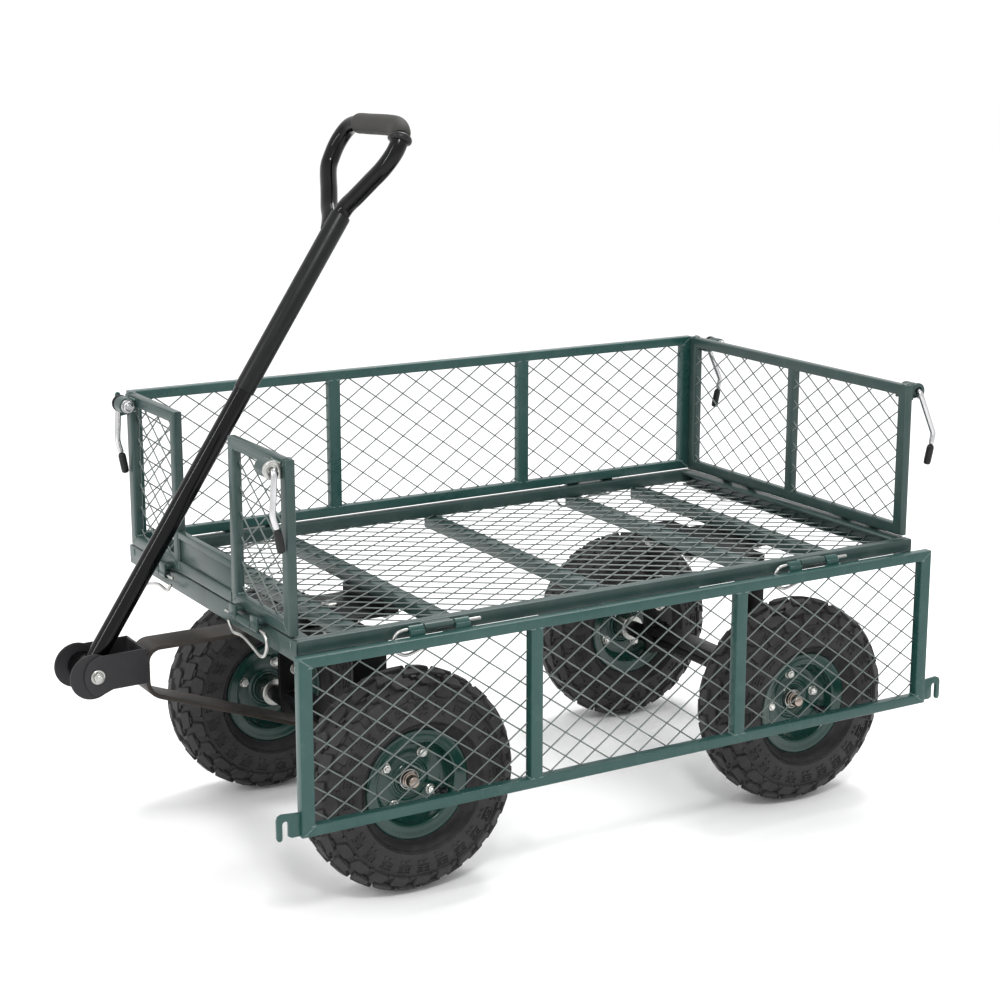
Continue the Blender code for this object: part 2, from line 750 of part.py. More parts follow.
def wheel(x, side, label):
    centre = (x, side * WHEEL_Y, AXLE_Z)
    hub = [
        (AXLE_RADIUS + GAP, HUB_INNER), (HUB_RADIUS, HUB_INNER), (HUB_RADIUS, HUB_OUTER),
        (AXLE_RADIUS + GAP, HUB_OUTER),
    ]
    pieces = [
        turned(f"tyre_{label}", tyre_section(), centre, "tyre_rubber", 32, side),
        turned(f"rim_{label}", rim_section(), centre, "green_rim", 28, side),
        turned(f"hub_{label}", hub, centre, "zinc", 20, side),
    ]
    for piece in pieces:
        set_origin(piece, centre)
    start = WHEEL_Y + HUB_OUTER + GAP
    bore = (AXLE_RADIUS + GAP) / cos(pi / 6)
    nut = [
        (bore, start - WHEEL_Y), (NUT_RADIUS, start - WHEEL_Y),
        (NUT_RADIUS, start - WHEEL_Y + NUT_HEIGHT), (bore, start - WHEEL_Y + NUT_HEIGHT),
    ]
    turned(f"axle_nut_{label}", nut, centre, "zinc", 6, side)


def axle(name, x):
    """A steel bar from wheel to wheel, with a collar between the bracket and each hub."""
    leg = YOKE_HALF_WIDTH + GAP
    hub = WHEEL_Y + HUB_INNER - GAP
    half = [
        (leg, AXLE_RADIUS), (leg, COLLAR_RADIUS), (hub, COLLAR_RADIUS), (hub, AXLE_RADIUS),
        (AXLE_TIP_Y, AXLE_RADIUS),
    ]
    outline = [(-y, r) for y, r in reversed(half)] + half
    shape = bmesh.new()
    sides = 16
    rings = []
    for y, r in outline:
        angles = [2 * pi * n / sides for n in range(sides)]
        rings.append([shape.verts.new((x + r * cos(a), y, AXLE_Z + r * sin(a))) for a in angles])
    for low, high in zip(rings, rings[1:]):
        for n in range(sides):
            shape.faces.new((low[n], low[(n + 1) % sides], high[(n + 1) % sides], high[n]))
    shape.faces.new(rings[0])
    shape.faces.new(rings[-1])
    return finish(name, shape, "zinc", round_piece=True)


def axle_holes(x):
    reach = YOKE_HALF_WIDTH + 0.004
    return cylinder("helper", (x, -reach, AXLE_Z), (x, reach, AXLE_Z), AXLE_RADIUS + GAP, sides=16)


def bracket_boxes(x, top):
    """Two legs that hold an axle, a top plate and a low crossbar."""
    depth = (x - YOKE_HALF_DEPTH, x + YOKE_HALF_DEPTH)
    inner = YOKE_HALF_WIDTH - YOKE_PLATE
    boxes = [[depth, span(side * inner, side * YOKE_HALF_WIDTH), (YOKE_BOTTOM, top)] for side in (1, -1)]
    boxes.append([depth, (-YOKE_HALF_WIDTH, YOKE_HALF_WIDTH), (top - 0.008, top)])
    boxes.append([(x - 0.015, x + 0.015), (-YOKE_HALF_WIDTH, YOKE_HALF_WIDTH), (0.1390, 0.1510)])
    return boxes


def rear_carriage():
    top = CROSS_TUBE_BOTTOM - GAP
    boxes = bracket_boxes(REAR_AXLE_X, top)
    outer = CROSS_TUBE_WIDTH / 2
    boxes.append([
        (CROSS_TUBES_X[0] - outer, CROSS_TUBES_X[1] + outer), (-0.060, 0.060), (top - 0.005, top)
    ])
    bracket = boxes_piece("rear_bracket", boxes, "black_paint")
    combine(bracket, axle_holes(REAR_AXLE_X), "DIFFERENCE")
    axle("rear_axle", REAR_AXLE_X)


def kingpin_hole():
    low, high = ((FRONT_AXLE_X, 0, z) for z in (0.24, 0.30))
    return cylinder("helper", low, high, KINGPIN_RADIUS + GAP)


def turntable():
    """The fixed front bracket under the bed: a channel bolted to two cross tubes, with the kingpin hole."""
    top = CROSS_TUBE_BOTTOM - GAP
    low, high = CROSS_TUBES_X[3] - 0.010, CROSS_TUBES_X[4] + 0.010
    web = (TURNTABLE_BOTTOM, TURNTABLE_BOTTOM + TURNTABLE_THICKNESS)
    boxes = [
        [(low, high), (-0.055, 0.055), web],
        [(low, low + 0.020), (-0.055, 0.055), (TURNTABLE_BOTTOM, top)],
        [(high - 0.020, high), (-0.055, 0.055), (TURNTABLE_BOTTOM, top)],
    ]
    bracket = boxes_piece("front_turntable", boxes, "black_paint")
    combine(bracket, kingpin_hole(), "DIFFERENCE")


def kingpin():
    """The steering pivot bolt with its nut."""
    head = TURNTABLE_BOTTOM + TURNTABLE_THICKNESS + GAP
    nut_top = YOKE_TOP - 0.008 - GAP
    x = FRONT_AXLE_X
    bolt = cylinder("kingpin", (x, 0, nut_top - 0.016), (x, 0, head + 0.004), KINGPIN_RADIUS, "zinc")
    cap = cylinder("helper", (x, 0, head), (x, 0, head + 0.009), NUT_RADIUS, sides=6)
    nut = cylinder("helper", (x, 0, nut_top - 0.011), (x, 0, nut_top), NUT_RADIUS, sides=6)
    combine(bolt, joined([cap, nut]), "UNION")
    set_origin(bolt, (x, 0, YOKE_TOP))


def front_yoke():
    yoke = boxes_piece("front_yoke", bracket_boxes(FRONT_AXLE_X, YOKE_TOP), "black_paint")
    combine(yoke, axle_holes(FRONT_AXLE_X), "DIFFERENCE")
    combine(yoke, kingpin_hole(), "DIFFERENCE")
    set_origin(yoke, (FRONT_AXLE_X, 0, YOKE_TOP))
    set_origin(axle("front_axle", FRONT_AXLE_X), (FRONT_AXLE_X, 0, YOKE_TOP))


def drawbar_strap():
    """A flat bar bent into a U on its side: a level arm on the kingpin, a lower arm down to the axle."""
    half = STRAP_THICKNESS / 2
    top = STRAP_TOP - half
    front = STRAP_FRONT_X - half
    bend = STRAP_BEND - half
    line = [Vector((FRONT_AXLE_X - 0.026, 0, top)), Vector((front - bend, 0, top))]
    for n in range(1, 5):
        angle = pi / 2 * (1 - n / 4)
        line.append(Vector((front - bend + bend * cos(angle), 0, top - bend + bend * sin(angle))))
    lower = Vector((STRAP_LOWER[0], 0, STRAP_LOWER[1]))
    corner = Vector((front, 0, STRAP_LOWER[1] + 0.006))
    straight_end = corner + Vector((0, 0, 0.016))
    for n in range(5):
        t = n / 4
        line.append((1 - t) ** 2 * straight_end + 2 * t * (1 - t) * corner + t**2 * lower)
    line.append(Vector((STRAP_FOOT[0], 0, STRAP_FOOT[1])))
    outer = []
    inner = []
    for n, point in enumerate(line):
        before = line[max(n - 1, 0)]
        after = line[min(n + 1, len(line) - 1)]
        into = (point - before).normalized() if n else (after - point).normalized()
        out = (after - point).normalized() if n < len(line) - 1 else into
        along = (into + out).normalized()
        normal = Vector((-along.z, 0, along.x))
        reach = half / max(along.dot(into), 0.5)
        outer.append(point + normal * reach)
        inner.append(point - normal * reach)
    ring = outer + inner[::-1]
    shift = Vector((0, -STRAP_HALF_WIDTH, 0))
    bar = prism([p + shift for p in ring], (0, 2 * STRAP_HALF_WIDTH, 0))
    strap = finish("drawbar_strap", bar, "dark_strap")
    combine(strap, kingpin_hole(), "DIFFERENCE")
    set_origin(strap, (FRONT_AXLE_X, 0, YOKE_TOP))


def cheek_outline(y):
    """A rounded nose round the handle's pivot, and a straight tail to the strap."""
    points = [Vector((COUPLING_BACK, y, COUPLING_TOP)), Vector((COUPLING_BACK, y, COUPLING_BOTTOM))]
    points.append(Vector((0.5560, y, COUPLING_BOTTOM - 0.0005)))
    for n in range(13):
        angle = radians(-140 + 240 * n / 12)
        points.append(Vector((
            CHEEK_CENTRE_X + CHEEK_RADIUS * cos(angle), y, PIVOT.z + CHEEK_RADIUS * sin(angle)
        )))
    return points


def pivot_hole():
    reach = COUPLING_HALF_WIDTH + 0.004
    low, high = (Vector((PIVOT.x, y, PIVOT.z)) for y in (-reach, reach))
    return cylinder("helper", low, high, BOLT_RADIUS + GAP)


def coupling():
    """The drawbar's clevis: two cheeks on a solid block, bored for the handle's pivot bolt."""
    inner = COUPLING_HALF_WIDTH - CHEEK
    near = finish("coupling", prism(cheek_outline(inner), (0, CHEEK, 0)), "charcoal_paint", round_piece=True)
    far = finish("helper", prism(cheek_outline(-COUPLING_HALF_WIDTH), (0, CHEEK, 0)), None)
    block = boxes_piece(
        "helper",
        [[
            (COUPLING_BACK + 0.001, COUPLING_BLOCK_FRONT),
            (-inner - 0.002, inner + 0.002),
            (COUPLING_BOTTOM + 0.002, COUPLING_TOP - 0.002),
        ]],
        None,
    )
    combine(block, far, "UNION")
    combine(near, block, "UNION")
    combine(near, pivot_hole(), "DIFFERENCE")
    set_origin(near, (FRONT_AXLE_X, 0, YOKE_TOP))
    bolt_end = COUPLING_HALF_WIDTH + 0.0085
    bolt = cylinder(
        "pivot_bolt", (PIVOT.x, -bolt_end, PIVOT.z), (PIVOT.x, bolt_end, PIVOT.z), BOLT_RADIUS, "zinc"
    )
    face = COUPLING_HALF_WIDTH + GAP
    ends = []
    for side in (1, -1):
        inside, outside = ((PIVOT.x, side * y, PIVOT.z) for y in (face, face + 0.0065))
        ends.append(cylinder("helper", inside, outside, BOLT_HEAD_RADIUS, sides=6))
    combine(bolt, joined(ends), "UNION")
    set_origin(bolt, PIVOT)


# ---------------------------------------------------------------- handle
def handle_axis():
    return Vector((-cos(HANDLE_LEAN), 0, sin(HANDLE_LEAN)))


def loop_line():
    """The hand loop's centre line in world coordinates."""
    along = handle_axis()
    forward = Vector((sin(HANDLE_LEAN), 0, cos(HANDLE_LEAN)))
    tilted = cos(LOOP_TILT) * along + sin(LOOP_TILT) * forward
    base = PIVOT + SLEEVE_END * along
    return [base + (tilted if s > 0 else along) * s + Vector((0, y, 0)) for s, y in LOOP_POINTS]


def handle():
    along = handle_axis()
    tube = cylinder("handle_tube", PIVOT, PIVOT + TUBE_END * along, TUBE_RADIUS, "gloss_black", sides=20)
    half = COUPLING_HALF_WIDTH - CHEEK - 0.0008
    foot = cylinder("helper", (PIVOT.x, -half, PIVOT.z), (PIVOT.x, half, PIVOT.z), FOOT_RADIUS, sides=20)
    combine(tube, foot, "UNION")
    combine(tube, pivot_hole(), "DIFFERENCE")
    set_origin(tube, PIVOT)

    low, high = (PIVOT + reach * along for reach in (SLEEVE_START, SLEEVE_END))
    sleeve = cylinder("handle_loop", low, high, SLEEVE_RADIUS, "gloss_black")
    low, high = (PIVOT + reach * along for reach in (SLEEVE_START - 0.01, TUBE_END + GAP))
    socket = cylinder("helper", low, high, SLEEVE_BORE, sides=20)
    combine(sleeve, socket, "DIFFERENCE")
    bends = smooth_line(loop_line(), 2)
    combine(sleeve, swept("helper", bends, LOOP_RADIUS, None, sides=10), "UNION")

    first, last = 2 * GRIP_FIRST_BEND, 2 * GRIP_LAST_BEND
    bore = swept("helper", bends[first - 1:last + 2], LOOP_RADIUS + GAP, None, sides=10)
    grip = swept("hand_grip", bends[first:last + 1], GRIP_RADIUS, "grip_rubber", sides=12)
    combine(grip, bore, "DIFFERENCE")
    set_origin(sleeve, PIVOT)
    set_origin(grip, PIVOT)


# ---------------------------------------------------------------- the cart
def main():
    clear_scene()
    bed_frame()
    deck_mesh()
    side_panel(1, "left")
    side_panel(-1, "right")
    gate(1, "front", notched=True)
    gate(-1, "rear", notched=False)
    for end, place in ((1, "front"), (-1, "rear")):
        for side, hand in ((1, "left"), (-1, "right")):
            latch(end, side, f"{place}_{hand}")
            wheel(FRONT_AXLE_X if end > 0 else REAR_AXLE_X, side, f"{place}_{hand}")
    rear_carriage()
    turntable()
    kingpin()
    front_yoke()
    drawbar_strap()
    coupling()
    handle()
    for piece in bpy.data.objects:
        piece.location -= ORIGIN


main()
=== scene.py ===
import json
from math import cos, pi, radians, sin

import bmesh
import bpy
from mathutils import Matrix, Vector


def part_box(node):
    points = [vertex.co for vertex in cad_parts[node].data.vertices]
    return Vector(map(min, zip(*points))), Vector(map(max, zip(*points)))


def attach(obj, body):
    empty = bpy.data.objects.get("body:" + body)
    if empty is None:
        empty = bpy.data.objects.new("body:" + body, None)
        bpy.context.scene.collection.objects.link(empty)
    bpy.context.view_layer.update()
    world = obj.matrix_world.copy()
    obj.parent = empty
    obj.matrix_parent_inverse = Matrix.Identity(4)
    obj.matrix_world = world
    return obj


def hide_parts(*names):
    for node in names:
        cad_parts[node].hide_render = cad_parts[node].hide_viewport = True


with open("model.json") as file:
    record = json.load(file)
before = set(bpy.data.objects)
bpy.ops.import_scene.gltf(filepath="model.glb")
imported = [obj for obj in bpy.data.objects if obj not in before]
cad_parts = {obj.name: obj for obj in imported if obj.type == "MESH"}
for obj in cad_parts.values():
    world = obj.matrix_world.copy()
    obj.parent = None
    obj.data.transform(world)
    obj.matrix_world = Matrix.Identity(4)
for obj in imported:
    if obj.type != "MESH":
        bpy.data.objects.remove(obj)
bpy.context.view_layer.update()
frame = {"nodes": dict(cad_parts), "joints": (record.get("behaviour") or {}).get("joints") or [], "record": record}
nodes = frame["nodes"]


# -------------------- materials
class Shader:
    """Short calls for building a node material around one Principled shader."""

    def __init__(self, name):
        self.material = bpy.data.materials.new(name)
        self.material.use_nodes = True
        self.tree = self.material.node_tree
        self.principled = self.tree.nodes["Principled BSDF"]
        self.where = self.tree.nodes.new("ShaderNodeTexCoord").outputs["Object"]

    def node(self, kind, values=None, **settings):
        made = self.tree.nodes.new(kind)
        for key, value in settings.items():
            setattr(made, key, value)
        for key, value in (values or {}).items():
            if isinstance(value, bpy.types.NodeSocket):
                self.tree.links.new(value, made.inputs[key])
            else:
                made.inputs[key].default_value = value
        return made

    def noise(self, scale, detail=4.0, rough=0.55, at=None):
        return self.node("ShaderNodeTexNoise", {
            "Vector": at or self.where, "Scale": scale, "Detail": detail, "Roughness": rough
        }).outputs["Fac"]

    def spread(self, value, low, high, out_low=0.0, out_high=1.0):
        return self.node("ShaderNodeMapRange", {
            "Value": value, "From Min": low, "From Max": high, "To Min": out_low, "To Max": out_high
        }).outputs["Result"]

    def mix(self, factor, first, second):
        made = self.node("ShaderNodeMix", data_type="RGBA")
        for index, value in ((0, factor), (6, first), (7, second)):
            if isinstance(value, bpy.types.NodeSocket):
                self.tree.links.new(value, made.inputs[index])
            else:
                made.inputs[index].default_value = (*value, 1.0) if isinstance(value, tuple) else value
        return made.outputs[2]

    def math(self, operation, first, second):
        return self.node("ShaderNodeMath", {0: first, 1: second}, operation=operation).outputs[0]

    def bump(self, height, strength, distance, after=None):
        values = {"Height": height, "Strength": strength, "Distance": distance}
        if after:
            values["Normal"] = after
        return self.node("ShaderNodeBump", values).outputs["Normal"]

    def use(self, **inputs):
        for key, value in inputs.items():
            socket = self.principled.inputs[key.replace("_", " ")]
            if isinstance(value, bpy.types.NodeSocket):
                self.tree.links.new(value, socket)
            else:
                socket.default_value = (*value, 1.0) if isinstance(value, tuple) else value
        return self.material


def paint(name, colour, pale, roughness, sheen, peel=0.12, coat=0.0):
    """Powder coat: orange peel bump, cloudy gloss, dust that gathers in patches and small rub marks."""
    s = Shader(name)
    cloud = s.noise(9.0, 3.0)
    dust = s.spread(s.noise(42.0, 6.0, 0.7), 0.50, 0.78)
    speck = s.spread(s.noise(420.0, 2.0), 0.70, 0.80)
    tone = s.mix(s.spread(cloud, 0.3, 0.7), colour, tuple(0.8 * c + 0.2 * p for c, p in zip(colour, pale)))
    tone = s.mix(s.math("MULTIPLY", dust, 0.30), tone, pale)
    tone = s.mix(s.math("MULTIPLY", speck, 0.35), tone, pale)
    normal = s.bump(s.noise(900.0, 2.0, 0.4), peel, 0.0004)
    normal = s.bump(s.noise(70.0, 3.0), 0.05, 0.0015, normal)
    gloss = s.math("ADD", s.spread(cloud, 0.25, 0.75, roughness - 0.04, roughness + 0.06),
                   s.math("MULTIPLY", dust, 0.16))
    return s.use(Base_Color=tone, Roughness=gloss, Normal=normal, Specular_IOR_Level=sheen, Coat_Weight=coat,
                 Coat_Roughness=0.12)


def metal(name, colour, roughness, stain=0.25, scratch=0.10):
    """Plated steel: fine scratches, cloudy plating and darker stains in patches."""
    s = Shader(name)
    cloud = s.noise(60.0, 4.0)
    spots = s.spread(s.noise(210.0, 6.0, 0.75), 0.52, 0.75)
    tone = s.mix(s.spread(cloud, 0.3, 0.7), colour, tuple(0.82 * c for c in colour))
    tone = s.mix(s.math("MULTIPLY", spots, stain), tone, tuple(0.35 * c for c in colour))
    squeezed = s.node("ShaderNodeMapping", {"Vector": s.where, "Scale": (1.0, 6.0, 1.0)}).outputs["Vector"]
    lines = s.noise(700.0, 2.0, 0.5, squeezed)
    gloss = s.math("ADD", s.spread(cloud, 0.3, 0.7, roughness, roughness + 0.12),
                   s.math("MULTIPLY", spots, 0.2))
    return s.use(Base_Color=tone, Metallic=1.0, Roughness=gloss, Normal=s.bump(lines, scratch, 0.0003))


def rubber(name, colour, dusty, roughness, grain, dust_level=0.5):
    """Moulded rubber: fine grain, mottled tone and dry dust."""
    s = Shader(name)
    cloud = s.noise(14.0, 5.0, 0.65)
    dust = s.spread(s.noise(85.0, 6.0, 0.7), 0.42, 0.75)
    tone = s.mix(s.spread(cloud, 0.3, 0.7), colour, tuple(1.35 * c for c in colour))
    tone = s.mix(s.math("MULTIPLY", dust, dust_level), tone, dusty)
    normal = s.bump(s.noise(grain, 4.0, 0.6), 0.22, 0.0006)
    gloss = s.math("ADD", s.spread(cloud, 0.3, 0.7, roughness - 0.08, roughness + 0.05),
                   s.math("MULTIPLY", dust, 0.10))
    return s.use(Base_Color=tone, Roughness=gloss, Normal=normal, Specular_IOR_Level=0.3)


# Colour, colour where worn or dusty, roughness, specular level, orange peel, clear coat
PAINTS = {
    "green_paint": ((0.0105, 0.052, 0.046), (0.070, 0.128, 0.118), 0.28, 0.30, 0.12, 0.15),
    # green_dull is the same green paint made greyer and darker, as painted shade: the gates and the bed it covers
    # stand more in shade than the side panels
    "green_dull": ((0.018, 0.043, 0.039), (0.090, 0.118, 0.112), 0.32, 0.30, 0.12, 0.10),
    "green_mesh": ((0.085, 0.108, 0.101), (0.24, 0.265, 0.255), 0.34, 0.6),
    "green_rim": ((0.0030, 0.030, 0.0225), (0.018, 0.066, 0.054), 0.20, 0.34, 0.04, 0.32),
    "black_paint": ((0.0028, 0.0028, 0.0032), (0.013, 0.013, 0.013), 0.34, 0.16),
    "charcoal_paint": ((0.017, 0.017, 0.019), (0.045, 0.045, 0.045), 0.46, 0.25, 0.2),
    "dark_strap": ((0.024, 0.019, 0.016), (0.07, 0.062, 0.055), 0.46, 0.25),
    "gloss_black": ((0.0010, 0.0010, 0.0013), (0.004, 0.004, 0.0045), 0.12, 0.22, 0.03),
    "satin_black": ((0.0022, 0.0025, 0.0029), (0.008, 0.009, 0.010), 0.34, 0.26, 0.05),
    "weld": ((0.060, 0.115, 0.104), (0.30, 0.37, 0.35), 0.24, 0.5, 0.3, 0.3),
}
# Colour, roughness, stains, scratches
METALS = {
    "zinc": ((0.52, 0.52, 0.50), 0.24, 0.42),
    "bright_zinc": ((0.80, 0.80, 0.77), 0.30, 0.20),
    "chrome": ((0.60, 0.60, 0.61), 0.16, 0.30, 0.05),
    "axle_end": ((0.42, 0.35, 0.30), 0.28, 0.45),
}
# Colour, colour where dusty, roughness, size of grain, dust
RUBBERS = {
    "tyre_rubber": ((0.0165, 0.0155, 0.0158), (0.062, 0.058, 0.057), 0.58, 500.0, 0.35),
    "grip_rubber": ((0.026, 0.0252, 0.0225), (0.055, 0.054, 0.049), 0.66, 1400.0),
    "vinyl": ((0.0050, 0.0050, 0.0054), (0.020, 0.020, 0.020), 0.36, 900.0, 0.25),
}
LOOKS = {
    name: build(name, *values)
    for build, table in ((paint, PAINTS), (metal, METALS), (rubber, RUBBERS))
    for name, values in table.items()
}

for entry in frame["record"]["subparts"]:
    look = LOOKS[entry["material_slot"]]
    piece = nodes[entry["node"]]
    piece.data.materials.clear()
    piece.data.materials.append(look)


# -------------------- places, in cart coordinates
def middle(node):
    """The middle of a CAD piece, in the frame's own coordinates."""
    low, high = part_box(node)
    return (low + high) / 2


# Cart coordinates start on the ground under the middle of the bed
HOME = Vector((middle("bed_frame").x, middle("bed_frame").y, 0.0))
BODY_OF = {node: body for body, members in frame["record"]["behaviour"]["bodies"].items() for node in members}
JOINTS = {joint["name"]: joint for joint in frame["joints"]}


def limits(node):
    """The two far corners of a CAD piece."""
    low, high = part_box(node)
    return low - HOME, high - HOME


def pivot(joint):
    """The point that a joint turns about."""
    return Vector(JOINTS[joint]["pos_m"]) - HOME


# -------------------- shapes
def skin(shape, rings, wrap=False):
    """Joins rings of points with faces, and closes the two ends."""
    rows = [[shape.verts.new(p) for p in ring] for ring in rings]
    count = len(rows[0])
    pairs = list(zip(rows, rows[1:]))
    if wrap:
        pairs.append((rows[-1], rows[0]))
    for low, high in pairs:
        for n in range(count):
            o = (n + 1) % count
            shape.faces.new((low[n], low[o], high[o], high[n]))
    if not wrap:
        shape.faces.new(rows[0][::-1])
        shape.faces.new(rows[-1])


def across_of(direction):
    """Two directions at right angles to the given one and to each other."""
    along = Vector(direction).normalized()
    helper = Vector((0, 1, 0)) if abs(along.y) < 0.9 else Vector((1, 0, 0))
    first = along.cross(helper).normalized()
    return first, along.cross(first).normalized()


def smooth_line(points, steps):
    """A smooth curve through the points, with that many steps between each two."""
    points = [Vector(p) for p in points]
    padded = [2 * points[0] - points[1], *points, 2 * points[-1] - points[-2]]
    line = []
    for a, b, c, d in zip(padded, padded[1:], padded[2:], padded[3:]):
        for n in range(steps):
            t = n / steps
            line.append(0.5 * (
                2 * b + (c - a) * t + (2 * a - 5 * b + 4 * c - d) * t**2 + (3 * b - a - 3 * c + d) * t**3
            ))
    line.append(points[-1])
    return line


def directions(line, n):
    """The directions of a line into and out of its point n."""
    into = (line[n] - line[n - 1]).normalized() if n else (line[1] - line[0]).normalized()
    out = (line[n + 1] - line[n]).normalized() if n < len(line) - 1 else into
    return into, out


def rod(shape, points, radius, sides=14, domed=0.0):
    """A round bar along a line; radius is one number or one for each point; domed rounds the two ends."""
    points = [Vector(p) for p in points]
    radii = list(radius) if isinstance(radius, (list, tuple)) else [radius] * len(points)
    if domed:
        for _ in range(2):
            tip, full = points[0], radii[0]
            reach = domed * full
            while len(points) > 2 and (points[1] - tip).length < 1.05 * reach:
                del points[1], radii[1]
            inward = (points[1] - tip).normalized()
            marks = ((0.0, 0.30), (0.10, 0.62), (0.35, 0.86), (0.65, 0.97), (1.0, 1.0))
            points = [tip + inward * (reach * share) for share, _ in marks] + points[1:]
            radii = [full * share for _, share in marks] + radii[1:]
            points.reverse()
            radii.reverse()
    first, _ = across_of(points[1] - points[0])
    rings = []
    for n, point in enumerate(points):
        into, out = directions(points, n)
        normal = (into + out).normalized()
        second = into.cross(first).normalized()
        first = second.cross(into).normalized()
        ring = []
        for m in range(sides):
            angle = 2 * pi * m / sides
            offset = radii[n] * (cos(angle) * first + sin(angle) * second)
            ring.append(point + offset - (offset.dot(normal) / into.dot(normal)) * into)
        rings.append(ring)
        first = (first - first.dot(out) * out).normalized()
    skin(shape, rings)


def rounded(half_a, half_b, radius, steps=3):
    """The corners of a rounded rectangle as (a, b) pairs."""
    marks = []
    for a, b, start in ((1, 1, 0.0), (-1, 1, 0.5), (-1, -1, 1.0), (1, -1, 1.5)):
        for n in range(steps + 1):
            angle = pi * (start + 0.5 * n / steps)
            across, up = a * (half_a - radius), b * (half_b - radius)
            marks.append((across + radius * cos(angle), up + radius * sin(angle)))
    return marks


def bar(shape, start, end, across, width, depth, radius=0.0016):
    """A straight rectangular tube with rounded edges; across is the direction of its width."""
    start, end = Vector(start), Vector(end)
    along = (end - start).normalized()
    across = Vector(across).normalized()
    through = along.cross(across)
    section = rounded(width / 2, depth / 2, radius)
    skin(shape, [[p + a * across + b * through for a, b in section] for p in (start, end)])


def loop(shape, outside, inside, through, radius=0.0016):
    """A closed rectangular frame of tube with mitred corners; through is the vector across the leaf."""
    through = Vector(through)
    depth = through.length
    rings = []
    for outer, inner in zip(outside, inside):
        outer, inner = Vector(outer), Vector(inner)
        reach = inner - outer
        width = reach.length / 2**0.5
        ring = []
        for a, b in rounded(0.5, depth / width / 2, radius / width):
            ring.append(outer + (0.5 + a) * reach + (0.5 + b * width / depth) * through)
        rings.append(ring)
    skin(shape, rings, wrap=True)


def soften(shape, radius, steps=2, limit=30):
    """Bevels the edges that are sharper than the limit."""
    shape.normal_update()
    sharp = [e for e in shape.edges if len(e.link_faces) == 2 and e.calc_face_angle(0.0) > radians(limit)]
    bmesh.ops.bevel(shape, geom=sharp, offset=radius, segments=steps, affect="EDGES", profile=0.5)


def plate(shape, outline, thickness, radius=0.0006, steps=2):
    """A flat outline given a thickness vector, with its edges rounded."""
    fresh = bmesh.new()
    skin(fresh, [[Vector(p) for p in outline], [Vector(p) + Vector(thickness) for p in outline]])
    bmesh.ops.recalc_face_normals(fresh, faces=fresh.faces)
    soften(fresh, radius, steps)
    merge(shape, fresh)


def block(shape, low, high, radius=0.0006, steps=2):
    """A box between two opposite corners, with its edges rounded."""
    low, high = [Vector([pick(a, b) for a, b in zip(low, high)]) for pick in (min, max)]
    outline = [(x, y, low.z) for x, y in ((low.x, low.y), (high.x, low.y), (high.x, high.y), (low.x, high.y))]
    plate(shape, outline, (0, 0, high.z - low.z), radius, steps)


def merge(shape, other):
    """Adds one bmesh to another."""
    mesh = bpy.data.meshes.new("part")
    other.to_mesh(mesh)
    other.free()
    shape.from_mesh(mesh)
    bpy.data.meshes.remove(mesh)


def turn(shape, profile, centre, side=1, steps=64):
    """Turns a closed outline of (radius, distance along y) about the line along y through centre."""
    centre = Vector(centre)
    rings = []
    for n in range(steps):
        angle = 2 * pi * n / steps
        rings.append([
            centre + Vector((radius * cos(angle), side * along, radius * sin(angle)))
            for radius, along in profile
        ])
    skin(shape, rings, wrap=True)


def disc(shape, centre, axis, profile, sides=32, turned=0.0):
    """A solid stack of rings along an axis: profile lists (distance along, radius)."""
    centre, axis = Vector(centre), Vector(axis).normalized()
    first, second = across_of(axis)
    angles = [turned + 2 * pi * n / sides for n in range(sides)]
    skin(shape, [
        [centre + along * axis + radius * (cos(angle) * first + sin(angle) * second) for angle in angles]
        for along, radius in profile
    ])


def hexagon(shape, centre, axis, radius, height, washer=0.0, turned=0.0, thread=0.0):
    """A chamfered hexagon nut or head, on a washer if one is given, and a bolt end through it."""
    start = 0.0012 if washer else 0.0
    if washer:
        steps = [(0.0, washer * 0.97), (0.0003, washer), (0.0009, washer), (start, washer * 0.95)]
        disc(shape, centre, axis, steps)
    top = start + height
    fresh = bmesh.new()
    chamfer = [(start, radius * 0.93), (start + 0.12 * height, radius)]
    chamfer += [(top - 0.16 * height, radius), (top, radius * 0.86)]
    disc(fresh, centre, axis, chamfer, 6, turned)
    bmesh.ops.recalc_face_normals(fresh, faces=fresh.faces)
    soften(fresh, radius * 0.05, 1, 20)
    merge(shape, fresh)
    bolt = thread or radius * 0.48
    end = [(top - 0.0004, bolt), (top + 0.18 * height, bolt), (top + 0.30 * height, bolt * 0.82)]
    disc(shape, centre, axis, end, 20)


def bead(shape, start, end, radius):
    """A weld bead: a low run of overlapping drops along a seam."""
    start, end = Vector(start), Vector(end)
    count = max(6, int((end - start).length / (radius * 0.45)))
    points = [start.lerp(end, n / count) for n in range(count + 1)]
    lumps = 9 * 1.7
    radii = []
    for n in range(count + 1):
        swell = 0.80 + 0.20 * sin(lumps * n) + 0.10 * sin(2.3 * n + 1.1)
        radii.append(radius * swell * (0.55 if n in (0, count) else 1.0))
    rod(shape, points, radii, 8)


def make(name, shape, look, replaces=(), body=None, angle=35):
    """Turns a bmesh in cart coordinates into a piece of the visual model."""
    bmesh.ops.recalc_face_normals(shape, faces=shape.faces)
    mesh = bpy.data.meshes.new(name)
    bmesh.ops.translate(shape, vec=HOME, verts=shape.verts)
    shape.to_mesh(mesh)
    shape.free()
    mesh.shade_smooth()
    mesh.set_sharp_from_angle(angle=radians(angle))
    piece = bpy.data.objects.new(name, mesh)
    bpy.context.scene.collection.objects.link(piece)
    mesh.materials.append(LOOKS[look])
    replaces = [replaces] if isinstance(replaces, str) else list(replaces)
    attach(piece, body or BODY_OF[replaces[0]])
    if replaces:
        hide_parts(*replaces)


